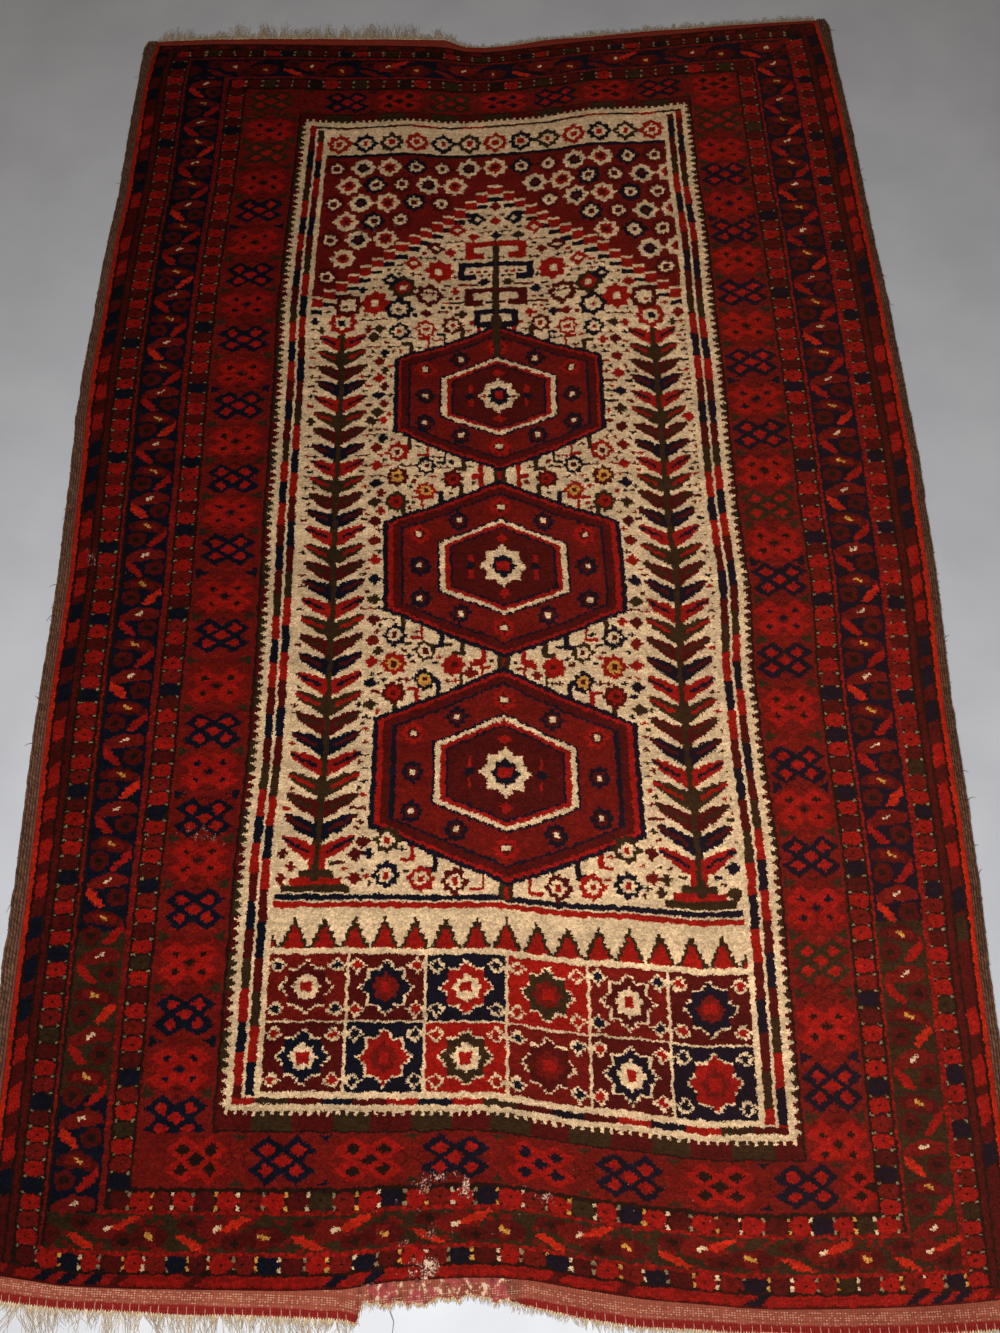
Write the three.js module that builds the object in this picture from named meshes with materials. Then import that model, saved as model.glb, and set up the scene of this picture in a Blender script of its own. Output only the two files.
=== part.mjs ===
// A hand-knotted wool prayer rug lying flat on the floor, in millimetres.
// +X runs across the rug, +Y runs to its far end and +Z is up. The underside is at z = 0.
import * as THREE from "three";

// Thickness of each kind of cloth
const PILE_THICK = 7;
const FLATWOVEN_THICK = 3;
const SELVEDGE_THICK = 5.5;
const FRINGE_THICK = 1.8;

// How far the pile's top rises and sinks, and over what lengths
const PILE_UNEVEN = 0.5;
const UNEVEN_ACROSS = 260;
const UNEVEN_ALONG = 410;

// The worn place at the near end, where the pile is down to its foundation
const WORN = { x: -55, y: -760, reach: 55, depth: 3.2 };

// Clearance between two pieces that are woven together in the real rug
const GAP = 0.3;

// The pile's two ends before they bend, the rows of its grid, and the least width of a column as a share
const NEAR_LEVEL = -786;
const FAR_LEVEL = 782;
const PILE_ROWS = 22;
const LEAST_SHARE = 0.005;

// Goat-hair cords in each selvedge, and how deep the groove between two cords is
const LEFT_CORDS = 5;
const RIGHT_CORDS = 4;
const CORD_GROOVE = 1.1;
const SELVEDGE_LIP = 1.4;

// Fringe: the strip that joins the tufts, and one tuft
const FRINGE_SPINE = 2;
const TUFT_PITCH = 12;
const TUFT_BASE = 6.5;
const TUFT_TIP = 2.6;
const TUFT_LEAN = 3;
const SHORTEST_TUFT = 0.72;

// Outer edge of each selvedge, and the selvedge's width there
const SIDES = [
  { y: -840, left: -470, leftWide: 15, right: 472, rightWide: 11 },
  { y: -700, left: -476, leftWide: 15.5, right: 478, rightWide: 11 },
  { y: -600, left: -480, leftWide: 15.5, right: 482, rightWide: 11 },
  { y: -500, left: -483, leftWide: 15.5, right: 485, rightWide: 10.5 },
  { y: -400, left: -484.5, leftWide: 15, right: 490, rightWide: 10 },
  { y: -300, left: -489, leftWide: 14.5, right: 491.5, rightWide: 10 },
  { y: -200, left: -491, leftWide: 14, right: 493.5, rightWide: 9.5 },
  { y: -100, left: -491, leftWide: 14, right: 499.5, rightWide: 9.5 },
  { y: 0, left: -495, leftWide: 13.5, right: 501, rightWide: 9.5 },
  { y: 50, left: -496.5, leftWide: 13.5, right: 503, rightWide: 9.5 },
  { y: 200, left: -503, leftWide: 12.5, right: 500.5, rightWide: 9.5 },
  { y: 300, left: -501, leftWide: 12.5, right: 499, rightWide: 9 },
  { y: 400, left: -500.5, leftWide: 12.5, right: 494.5, rightWide: 8.5 },
  { y: 500, left: -495, leftWide: 12.5, right: 492.5, rightWide: 9 },
  { y: 600, left: -495, leftWide: 12.5, right: 490, rightWide: 9.5 },
  { y: 700, left: -494, leftWide: 11.5, right: 485.5, rightWide: 10 },
  { y: 750, left: -492, leftWide: 11, right: 481.5, rightWide: 9.5 },
  { y: 806, left: -477, leftWide: 9, right: 469, rightWide: 8 },
];

// Far end: where the pile stops and where the flat-woven end stops
const FAR_END = [
  { x: -500, pile: 792, flat: 802 },
  { x: -450, pile: 792.5, flat: 806 },
  { x: -386, pile: 792, flat: 807 },
  { x: -319, pile: 789.5, flat: 804.5 },
  { x: -253, pile: 785.5, flat: 801 },
  { x: -186, pile: 780.5, flat: 797.5 },
  { x: -126, pile: 776.5, flat: 794.5 },
  { x: -62, pile: 770, flat: 789.5 },
  { x: -34, pile: 761, flat: 774.5 },
  { x: -2, pile: 757, flat: 770.5 },
  { x: 36, pile: 760.5, flat: 774.5 },
  { x: 84, pile: 766.5, flat: 782.5 },
  { x: 151, pile: 774.5, flat: 786.5 },
  { x: 217, pile: 778.5, flat: 792.5 },
  { x: 284, pile: 783.5, flat: 796.5 },
  { x: 351, pile: 788.5, flat: 799.5 },
  { x: 417, pile: 792.5, flat: 802.5 },
  { x: 500, pile: 795, flat: 805 },
];

// Near end, with the torn stretch of the flat-woven end from x = -114 to x = 30
const NEAR_END = [
  { x: -500, pile: -768, flat: -788 },
  { x: -436, pile: -775.5, flat: -795.5 },
  { x: -386, pile: -782.5, flat: -801.5 },
  { x: -319, pile: -785.5, flat: -804.5 },
  { x: -253, pile: -786.5, flat: -806.5 },
  { x: -186, pile: -787.5, flat: -808.5 },
  { x: -130, pile: -786.5, flat: -811 },
  { x: -117, pile: -785, flat: -814 },
  { x: -111, pile: -784, flat: -800 },
  { x: -86, pile: -780.5, flat: -798 },
  { x: -48, pile: -778.5, flat: -797.5 },
  { x: -19, pile: -777.5, flat: -793.5 },
  { x: 8, pile: -777.5, flat: -795 },
  { x: 34, pile: -779.5, flat: -801 },
  { x: 84, pile: -787.5, flat: -810.5 },
  { x: 134, pile: -794.5, flat: -817 },
  { x: 184, pile: -798.5, flat: -819.5 },
  { x: 251, pile: -803, flat: -822.5 },
  { x: 317, pile: -802.5, flat: -823.5 },
  { x: 384, pile: -800.5, flat: -822.5 },
  { x: 500, pile: -791, flat: -815 },
];

// How long the fringe is along each end
const FAR_FRINGE = [
  { x: -480, long: 15 },
  { x: -440, long: 27 },
  { x: -405, long: 11 },
  { x: -372, long: 26 },
  { x: -290, long: 27.5 },
  { x: -170, long: 28 },
  { x: -90, long: 25 },
  { x: -40, long: 12 },
  { x: 30, long: 7 },
  { x: 180, long: 9 },
  { x: 480, long: 10 },
];
const NEAR_FRINGE = [
  { x: -480, long: 8 },
  { x: -436, long: 14 },
  { x: -400, long: 26 },
  { x: -300, long: 26 },
  { x: -225, long: 19 },
  { x: -150, long: 23 },
  { x: -118, long: 5 },
  { x: -60, long: 3 },
  { x: 30, long: 6 },
  { x: 110, long: 10 },
  { x: 480, long: 8 },
];

const wool = new THREE.MeshStandardMaterial({ color: 0x7a1c14, roughness: 0.95, metalness: 0 });
const flatweave = new THREE.MeshStandardMaterial({ color: 0xa0503f, roughness: 0.9, metalness: 0 });
const goatHair = new THREE.MeshStandardMaterial({ color: 0x54453a, roughness: 0.85, metalness: 0 });
const warpYarn = new THREE.MeshStandardMaterial({ color: 0xc9b591, roughness: 0.9, metalness: 0 });

// The value of a column at a place between two rows, on a smooth curve that never overshoots a row
function read(table, key, column, at) {
  const last = table.length - 1;
  let row = 0;
  while (row < last - 1 && at > table[row + 1][key]) row += 1;
  const slope = (k) => (table[k + 1][column] - table[k][column]) / (table[k + 1][key] - table[k][key]);
  const tangent = (k) => {
    if (k === 0) return slope(0);
    if (k === last) return slope(last - 1);
    const before = slope(k - 1);
    const after = slope(k);
    return before * after <= 0 ? 0 : (2 * before * after) / (before + after);
  };
  const [from, to] = [table[row], table[row + 1]];
  const span = to[key] - from[key];
  const t = THREE.MathUtils.clamp((at - from[key]) / span, 0, 1);
  const rise = to[column] - from[column];
  const [start, end] = [tangent(row) * span, tangent(row + 1) * span];
  return from[column] + t * (start + t * (3 * rise - 2 * start - end + t * (start + end - 2 * rise)));
}

const leftOuter = (y) => read(SIDES, "y", "left", y);
const leftInner = (y) => leftOuter(y) + read(SIDES, "y", "leftWide", y);
const rightOuter = (y) => read(SIDES, "y", "right", y);
const rightInner = (y) => rightOuter(y) - read(SIDES, "y", "rightWide", y);
const mix = THREE.MathUtils.lerp;

// A repeatable number from 0 to 1 for each tuft
function chance(seed) {
  const wave = Math.sin(seed * 12.9898) * 43758.5453;
  return wave - Math.floor(wave);
}

// A closed solid from rings of points: each ring is one section, the same way round in all
function loft(sections) {
  const corners = sections.flat();
  const around = sections[0].length;
  const index = [];
  for (let s = 0; s + 1 < sections.length; s += 1) {
    for (let k = 0; k < around; k += 1) {
      const a = s * around + k;
      const b = s * around + ((k + 1) % around);
      index.push(a, b, b + around, a, b + around, a + around);
    }
  }
  const lastRing = (sections.length - 1) * around;
  for (const [low, reversed] of [[0, false], [lastRing, true]]) {
    const ring = corners.slice(low, low + around).map((p) => new THREE.Vector2(p.x, p.z));
    for (const [a, b, c] of THREE.ShapeUtils.triangulateShape(ring, [])) {
      index.push(low + a, low + (reversed ? c : b), low + (reversed ? b : c));
    }
  }
  return solid(corners, index);
}

// A closed slab over a grid of places: its underside is flat on the floor, its top is at height(x, y)
function slab(rows, place, height) {
  const corners = [];
  const index = [];
  const wide = SHARES.length;
  const columns = wide - 1;
  const layer = wide * (rows + 1);
  for (let level = 0; level < 2; level += 1) {
    for (let j = 0; j <= rows; j += 1) {
      for (const share of SHARES) {
        const [x, y] = place(share, j / rows);
        corners.push(new THREE.Vector3(x, y, level ? height(x, y) : 0));
      }
    }
  }
  for (let j = 0; j < rows; j += 1) {
    for (let i = 0; i < columns; i += 1) {
      const a = j * wide + i;
      const [b, c, d] = [a + 1, a + 1 + wide, a + wide];
      index.push(a, c, b, a, d, c);
      index.push(a + layer, b + layer, c + layer, a + layer, c + layer, d + layer);
    }
  }
  const rim = [];
  for (let i = 0; i < columns; i += 1) rim.push(i);
  for (let j = 0; j < rows; j += 1) rim.push(j * wide + columns);
  for (let i = columns; i > 0; i -= 1) rim.push(rows * wide + i);
  for (let j = rows; j > 0; j -= 1) rim.push(j * wide);
  rim.forEach((a, k) => {
    const b = rim[(k + 1) % rim.length];
    index.push(a, b, b + layer, a, b + layer, a + layer);
  });
  return solid(corners, index);
}

function solid(corners, index) {
  const geometry = new THREE.BufferGeometry().setFromPoints(corners);
  geometry.setIndex(index);
  geometry.computeVertexNormals();
  return geometry;
}

// A place on the knotted pile and its foundation, which lie between the selvedges and the flat-woven ends
function pilePlace(across, along) {
  const level = mix(NEAR_LEVEL, FAR_LEVEL, along);
  const x = mix(leftInner(level) + GAP, rightInner(level) - GAP, across);
  return [x, mix(read(NEAR_END, "x", "pile", x), read(FAR_END, "x", "pile", x), along)];
}

// The grid's columns, as shares of the width: one for each row of the two end tables
function sharesOf(table, level) {
  const from = leftInner(level) + GAP;
  const to = rightInner(level) - GAP;
  return table.map((row) => (row.x - from) / (to - from)).filter((share) => share > 0 && share < 1);
}
const SHARES = [0, ...sharesOf(NEAR_END, NEAR_LEVEL), ...sharesOf(FAR_END, FAR_LEVEL), 1]
  .sort((a, b) => a - b)
  .filter((share, i, all) => i === 0 || share - all[i - 1] > LEAST_SHARE);

function pileTop(x, y) {
  const waves = Math.sin((x / UNEVEN_ACROSS) * Math.PI) * Math.cos((y / UNEVEN_ALONG) * Math.PI);
  const away = Math.hypot(x - WORN.x, y - WORN.y) / WORN.reach;
  return PILE_THICK + PILE_UNEVEN * waves - WORN.depth * Math.exp(-away * away);
}

// The places where the columns cross the outer edge of a flat-woven end
function flatEdge(end) {
  return SHARES.map((share) => {
    const [x] = pilePlace(share, end.along);
    return new THREE.Vector2(x, read(end.table, "x", "flat", x));
  });
}

// A flat-woven end, from just outside the pile to the row where the fringe starts
function flatwovenEnd(end) {
  const place = (across, along) => {
    const [x, pile] = pilePlace(across, end.along);
    const ends = [pile + end.outwards * GAP, read(end.table, "x", "flat", x)].sort((a, b) => a - b);
    return [x, ends[Math.round(along)]];
  };
  return slab(1, place, () => FLATWOVEN_THICK);
}

// One selvedge: goat-hair cords side by side, bound over the rug's outer warps at one side of the pile
function selvedge(side, outer, cords) {
  const clear = side === 0 ? -GAP : GAP;
  const places = [];
  for (let j = 0; j <= PILE_ROWS; j += 1) places.push(pilePlace(side, j / PILE_ROWS));
  const [nearX, farX] = [places[0][0], places[PILE_ROWS][0]];
  places.unshift([nearX, read(NEAR_END, "x", "flat", nearX)]);
  places.push([farX, read(FAR_END, "x", "flat", farX)]);
  return loft(
    places.map(([x, y]) => {
      const [low, high] = [outer(y), x + clear].sort((a, b) => a - b);
      const ring = [new THREE.Vector3(high, y, 0), new THREE.Vector3(low, y, 0)];
      ring.push(new THREE.Vector3(low, y, SELVEDGE_LIP));
      for (let k = 0; k < cords; k += 1) {
        if (k > 0) ring.push(new THREE.Vector3(mix(low, high, k / cords), y, SELVEDGE_THICK - CORD_GROOVE));
        ring.push(new THREE.Vector3(mix(low, high, (k + 0.5) / cords), y, SELVEDGE_THICK));
      }
      ring.push(new THREE.Vector3(high, y, SELVEDGE_LIP));
      return ring;
    }),
  );
}

// A fringe: one comb of warp tufts that starts at the edge of a flat-woven end
function fringe(end, lengths) {
  const edge = flatEdge(end);
  const [start, stop] = [edge[0].x, edge[edge.length - 1].x];
  const tufts = Math.floor((stop - start) / TUFT_PITCH);
  const rim = (x) => {
    const k = Math.max(1, edge.findIndex((place) => place.x >= x));
    const share = (x - edge[k - 1].x) / (edge[k].x - edge[k - 1].x);
    return new THREE.Vector2(x, mix(edge[k - 1].y, edge[k].y, share) + end.outwards * FRINGE_SPINE);
  };
  const outline = edge.map((place) => new THREE.Vector2(place.x, place.y + end.outwards * GAP));
  for (let i = tufts - 1; i >= 0; i -= 1) {
    const x = mix(start, stop, (i + 0.5) / tufts);
    const long = read(lengths, "x", "long", x) * mix(SHORTEST_TUFT, 1, chance(i + 1));
    const lean = mix(-TUFT_LEAN, TUFT_LEAN, chance(i + 0.5));
    const [left, right] = [rim(x - TUFT_BASE / 2), rim(x + TUFT_BASE / 2)];
    const base = end.outwards * Math.max(end.outwards * left.y, end.outwards * right.y);
    const tip = base + end.outwards * Math.max(long - FRINGE_SPINE, 1);
    outline.push(right, new THREE.Vector2(x + lean + TUFT_TIP / 2, tip));
    outline.push(new THREE.Vector2(x + lean - TUFT_TIP / 2, tip), left);
    const between = edge.filter((place) => place.x < left.x && place.x > left.x - TUFT_PITCH + TUFT_BASE);
    outline.push(...between.reverse().map((place) => rim(place.x)));
  }
  return new THREE.ExtrudeGeometry(new THREE.Shape(outline), { depth: FRINGE_THICK, bevelEnabled: false });
}

const rug = new THREE.Group();
function add(name, geometry, material) {
  const mesh = new THREE.Mesh(geometry, material);
  mesh.name = name;
  rug.add(mesh);
}

const farEnd = { table: FAR_END, along: 1, outwards: 1 };
const nearEnd = { table: NEAR_END, along: 0, outwards: -1 };
add("pile_body", slab(PILE_ROWS, pilePlace, pileTop), wool);
add("flatwoven_end_far", flatwovenEnd(farEnd), flatweave);
add("flatwoven_end_near", flatwovenEnd(nearEnd), flatweave);
add("selvedge_left", selvedge(0, leftOuter, LEFT_CORDS), goatHair);
add("selvedge_right", selvedge(1, rightOuter, RIGHT_CORDS), goatHair);
add("fringe_far", fringe(farEnd, FAR_FRINGE), warpYarn);
add("fringe_near", fringe(nearEnd, NEAR_FRINGE), warpYarn);

export default rug;
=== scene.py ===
import math

import bmesh
import bpy
import numpy as np
from mathutils import Matrix, Vector


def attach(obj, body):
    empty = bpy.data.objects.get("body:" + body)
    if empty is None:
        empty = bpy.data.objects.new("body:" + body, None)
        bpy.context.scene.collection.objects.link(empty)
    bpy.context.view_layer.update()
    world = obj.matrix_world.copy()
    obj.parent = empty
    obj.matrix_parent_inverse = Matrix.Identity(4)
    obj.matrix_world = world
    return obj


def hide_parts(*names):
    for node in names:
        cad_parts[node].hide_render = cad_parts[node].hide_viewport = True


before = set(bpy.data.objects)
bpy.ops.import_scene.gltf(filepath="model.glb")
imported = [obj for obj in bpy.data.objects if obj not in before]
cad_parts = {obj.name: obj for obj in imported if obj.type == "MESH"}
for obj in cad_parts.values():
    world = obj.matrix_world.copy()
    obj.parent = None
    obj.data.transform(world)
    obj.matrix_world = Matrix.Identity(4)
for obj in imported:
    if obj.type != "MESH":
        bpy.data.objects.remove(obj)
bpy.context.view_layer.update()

# The place where the rug lies: a pale painted floor in soft light. The picture is taken from above the
# rug's near end, turned and tipped a little, and the light is widest there, so the far end is the dimmer
# one.
bpy.ops.object.select_all(action="DESELECT")
MM = 0.001

CAMERA_PLACE = (49.8, -692.95, 1165.15)
CAMERA_TURN = 0.072051
CAMERA_PITCH = 0.411545
CAMERA_ROLL = -0.084264
FOCAL_PIXELS = 1165
PICTURE_TALL = 1333

lens = bpy.data.cameras.new("camera")
lens.sensor_width = 36
lens.lens = FOCAL_PIXELS / PICTURE_TALL * lens.sensor_width
camera = bpy.data.objects.new("camera", lens)
camera.rotation_euler = (
    Matrix.Rotation(CAMERA_TURN, 3, "Z")
    @ Matrix.Rotation(CAMERA_PITCH, 3, "X")
    @ Matrix.Rotation(CAMERA_ROLL, 3, "Z")
).to_euler()
camera.location = [place * MM for place in CAMERA_PLACE]
bpy.context.scene.collection.objects.link(camera)
bpy.context.scene.camera = camera
bpy.context.scene.view_settings.view_transform = "Standard"


def linear(colour):
    """A hex colour, as seen on a screen, as the linear colour that shaders use."""
    channels = [int(colour[k : k + 2], 16) / 255 for k in (1, 3, 5)]
    return [c / 12.92 if c <= 0.04045 else ((c + 0.055) / 1.055) ** 2.4 for c in channels] + [1]


def finish_for(name):
    """An empty material, and the function that adds a shader node to it."""
    material = bpy.data.materials.new(name)
    material.use_nodes = True
    tree = material.node_tree
    tree.nodes.clear()

    def add(kind, *values, **settings):
        """Adds a node, such as "TexNoise" or "Math ADD". What feeds its inputs is a value, a node or a socket,
        and is given in order, or by name in a dictionary."""
        kind, _, operation = kind.partition(" ")
        node = tree.nodes.new("ShaderNode" + kind)
        if operation:
            node.operation = operation
        for setting, value in settings.items():
            setattr(node, setting, value)
        named = values[0] if values and isinstance(values[0], dict) else dict(enumerate(values))
        for socket, value in named.items():
            if isinstance(value, bpy.types.Node):
                value = next(output for output in value.outputs if output.enabled)
            if isinstance(value, bpy.types.NodeSocket):
                tree.links.new(value, node.inputs[socket])
            else:
                node.inputs[socket].default_value = value
        return node

    return material, add


def stops(ramp, colours):
    """Puts colours on a colour ramp, each at a place from 0 to 1."""
    elements = ramp.color_ramp.elements
    while len(elements) < len(colours):
        elements.new(0.5)
    for element, (position, colour) in zip(elements, colours):
        element.position = position
        element.color = linear(colour)


def place_object(name, data):
    """A new object with its data, in the scene."""
    made = bpy.data.objects.new(name, data)
    bpy.context.scene.collection.objects.link(made)
    return made


def area_light(name, place, aim, wide, watts, colour):
    """A square soft light, in metres."""
    data = bpy.data.lights.new(name, "AREA")
    data.shape = "SQUARE"
    data.size = wide
    data.energy = watts
    data.color = linear(colour)[:3]
    light = place_object(name, data)
    light.location = place
    light.rotation_euler = (Vector(aim) - Vector(place)).to_track_quat("-Z", "Y").to_euler()


area_light("light_near", (-0.1, -0.98, 1.45), (0.0, -0.5, 0.0), 0.8, 34, "#FFFEFF")
area_light("light_far", (-0.6, 1.2, 2.2), (0.0, 0.3, 0.0), 1.6, 1.2, "#FFD8B4")

world = bpy.data.worlds.new("soft daylight")
world.use_nodes = True
world.node_tree.nodes["Background"].inputs["Color"].default_value = linear("#F2DAC0")
world.node_tree.nodes["Background"].inputs["Strength"].default_value = 0.11
bpy.context.scene.world = world

FLOOR_WIDE = 14
bpy.ops.mesh.primitive_plane_add(size=FLOOR_WIDE)
floor = bpy.context.active_object
floor.name = "floor"
# Painted concrete: a matt film of paint with a faint mottle
painted_floor, add = finish_for("matt painted concrete")
place = add("TexCoord")
mottle = add("TexNoise", {"Vector": place.outputs["Object"], "Scale": 9, "Detail": 6})
tone = add("ValToRGB", {"Fac": mottle})
stops(tone, ((0.3, "#B4B7BC"), (0.7, "#BFC2C6")))
paint = add("BsdfPrincipled", {"Base Color": tone, "Roughness": 0.55})
add("OutputMaterial", {"Surface": paint})
floor.data.materials.append(painted_floor)


# The knotted pile: wool yarn tied row by row round wool warps, then cut. It is one cloth and holds the
# field and all the borders. One knot is 2.93 mm wide, and one row of knots is 1.91 mm high.
KNOT_WIDE = 2.93
ROW_HIGH = 1.91
LEFT_KNOTS = 79
FIELD_KNOTS = 181
RIGHT_KNOTS = 72
NEAR_ROWS = 80
FIELD_ROWS = 662
FAR_ROWS = 86
KNOTS = LEFT_KNOTS + FIELD_KNOTS + RIGHT_KNOTS
ROWS = NEAR_ROWS + FIELD_ROWS + FAR_ROWS

# The yarns, with the colour of each. The order is the one that the chart numbers them in.
YARNS = {
    "madder": "#66110A",
    "scarlet": "#8F120A",
    "wine": "#490C08",
    "indigo": "#0C0E19",
    "walnut": "#30200F",
    "ivory": "#D8B68B",
    "gold": "#C58A3C",
    "umber": "#200F08",
    "dun": "#85704F",
    "brick": "#7C130B",
    "coral": "#B4220D",
}
MADDER, SCARLET, WINE, INDIGO, WALNUT, IVORY, GOLD, UMBER, DUN, BRICK, CORAL = range(len(YARNS))
LETTERS = {"m": MADDER, "s": SCARLET, "w": WINE, "i": INDIGO, "b": WALNUT}

# Where the field's edges lie, mm: its sides at places along the rug, and its ends at places across it
FIELD_SIDES = np.array(
    [
        (-640, -247, 282), (-596, -247, 283), (-396, -248, 285.5), (-296, -244, 281), (-196, -244.5, 279),
        (-96, -246, 284), (4, -249, 279), (204, -251, 278), (304, -254.5, 275.5), (404, -253, 276),
        (504, -250, 271), (604, -247.5, 270),
    ],
    float,
)
FIELD_NEAR = np.array(
    [
        (-248, -635.5), (-116, -637.5), (4, -638), (84, -651.5), (124, -655.5), (164, -660.5), (204, -665.5),
        (281, -665.5),
    ],
    float,
)
FIELD_FAR = np.array(
    [
        (-259, 632.5), (-203, 624.5), (-103, 626.5), (-53, 617.5), (-16, 617.5), (51, 621.5), (84, 624.5),
        (141, 636.5), (217, 635.5), (271, 641.5),
    ],
    float,
)


def sides_of(node):
    """The four sides of a CAD node's underside, in mm, as rows of x and y."""
    shape = bmesh.new()
    shape.from_mesh(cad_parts[node].data)
    bmesh.ops.remove_doubles(shape, verts=shape.verts, dist=1e-5)
    shape.normal_update()
    beside = {}
    for edge in shape.edges:
        if sum(face.normal.z < -0.5 for face in edge.link_faces) == 1:
            for one, other in (edge.verts, reversed(edge.verts)):
                beside.setdefault(one, []).append(other)
    ring = [next(iter(beside))]
    ring.append(beside[ring[0]][0])
    while ring[-1] is not ring[0]:
        one, other = beside[ring[-1]]
        ring.append(one if other is ring[-2] else other)
    points = np.array([vert.co.xy for vert in ring[:-1]]) / MM
    shape.free()
    x, y = points.T
    if np.sum(x * np.roll(y, -1) - y * np.roll(x, -1)) < 0:
        points = points[::-1]
    middle, reach = (points.max(0) + points.min(0)) / 2, np.ptp(points, axis=0) / 2
    spread = (points - middle) / reach
    lean = np.array((4, 1) if reach[0] > reach[1] else (1, 4))
    corners = [np.argmax(spread @ (lean * towards)) for towards in ((-1, -1), (1, -1), (1, 1), (-1, 1))]
    points = np.roll(points, -corners[0], axis=0)
    cuts = [(corner - corners[0]) % len(points) for corner in corners[1:]]
    near, right, far, left = np.split(points, cuts)
    return {
        "near": np.vstack((near, right[:1])),
        "right": np.vstack((right, far[:1])),
        "far": np.vstack((far, left[:1]))[::-1],
        "left": np.vstack((left, near[:1]))[::-1],
    }


pile_sides = sides_of("pile_body")


def side_at(sides, name, y):
    """Where the left or the right side lies across the rug, at places along it."""
    return np.interp(y, sides[name][:, 1], sides[name][:, 0])


def pile_place(knot, row):
    """Where a place on the chart lies on the rug, in mm. Both are counted from the near left corner."""
    x = np.interp(knot, (0, KNOTS), (-485, 485))
    y = np.interp(row, (0, ROWS), (-790, 790))
    across_chart = (0, LEFT_KNOTS, LEFT_KNOTS + FIELD_KNOTS, KNOTS)
    along_chart = (0, NEAR_ROWS, NEAR_ROWS + FIELD_ROWS, ROWS)

    def between(chart_places, rug_places, at):
        result = np.zeros_like(x)
        for k in range(3):
            share = (at - chart_places[k]) / (chart_places[k + 1] - chart_places[k])
            inside = (share >= 0) & (share <= 1)
            result[inside] = (rug_places[k] + share * (rug_places[k + 1] - rug_places[k]))[inside]
        return result

    for _ in range(4):
        left, right = side_at(pile_sides, "left", y), side_at(pile_sides, "right", y)
        field_left = np.interp(y, FIELD_SIDES[:, 0], FIELD_SIDES[:, 1])
        field_right = np.interp(y, FIELD_SIDES[:, 0], FIELD_SIDES[:, 2])
        x = between(across_chart, (left, field_left, field_right, right), knot)
        near = np.interp(x, *pile_sides["near"].T)
        far = np.interp(x, *pile_sides["far"].T)
        field_near = np.interp(x, *FIELD_NEAR.T)
        field_far = np.interp(x, *FIELD_FAR.T)
        y = between(along_chart, (near, field_near, field_far, far), row)
    return x, y


rug_x, rug_y = pile_place(*np.meshgrid(np.arange(KNOTS) + 0.5, np.arange(ROWS) + 0.5))

# The chart of the pile: one yarn for each knot. Shapes are drawn on it in mm of yarn, x across and y along.
chart = np.full((ROWS, KNOTS), MADDER)
chart_x, chart_y = np.meshgrid((np.arange(KNOTS) + 0.5) * KNOT_WIDE, (np.arange(ROWS) + 0.5) * ROW_HIGH)


class Band:
    """A rectangle of the chart. Along runs with the border, and across is counted from its middle."""

    def __init__(self, first_knot, last_knot, first_row, last_row, upright):
        part = (slice(first_row, last_row), slice(first_knot, last_knot))
        self.knots = chart[part]
        self.x, self.y = chart_x[part], chart_y[part]
        self.along, across = (self.y, self.x) if upright else (self.x, self.y)
        middle = (self.knots.shape[1 if upright else 0]) // 2
        line = (slice(None), middle) if upright else (middle, slice(None))
        self.middle = (across.min() + across.max()) / 2
        self.across = across - self.middle
        self.half = across.max() - self.middle + (KNOT_WIDE if upright else ROW_HIGH) / 2
        self.upright = upright
        self.on_chart = self.along[line]
        self.on_rug = (rug_y if upright else rug_x)[part][line]

    def at(self, place):
        """The chart's place for a place along the rug, in mm from its middle."""
        return np.interp(place, self.on_rug, self.on_chart)

    def draw(self, mask, yarn):
        self.knots[mask] = yarn

    def fill(self, yarn):
        self.knots[:] = yarn

    def dot(self, along, across, tall, yarn):
        """One knot, or a few of them one above the other."""
        x, y = (across + self.middle, along) if self.upright else (along, across + self.middle)
        column = round((x - self.x[0, 0]) / KNOT_WIDE)
        row = round((y - self.y[0, 0]) / ROW_HIGH)
        if 0 <= row and 0 <= column:
            self.knots[row : row + tall, column : column + 1] = yarn


def marks(band, text):
    """Reads marks such as "s619": a yarn's letter, and its place along the rug in mm from the middle."""
    return [(LETTERS[mark[0]], band.at(float(mark[1:]))) for mark in text.split()]


LOBE_ACROSS, LOBE_ALONG = 14.2, 9.0
LOBE_WIDE, LOBE_HIGH = 18.0, 12.4
HEART_WIDE, HEART_HIGH = 7.6, 6.0


def knotwork(band, x, y, yarn, heart):
    """Two by two linked lozenges with open hearts, and a smaller heart between them."""
    across, along = band.x - x, band.y - y
    lobes = [(across - side * LOBE_ACROSS, along - end * LOBE_ALONG) for side in (-1, 1) for end in (-1, 1)]
    for u, v in lobes:
        band.draw(np.abs(u) / LOBE_WIDE + np.abs(v) / LOBE_HIGH < 1, yarn)
    opening = 0.62 if yarn == SCARLET and band.upright else 1.0
    for u, v in lobes:
        band.draw(np.abs(u) / HEART_WIDE + np.abs(v) / HEART_HIGH < opening, heart)
    band.draw(np.abs(across) / 8.2 + np.abs(along) / 5.2 < opening + 0.1, heart)


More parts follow.
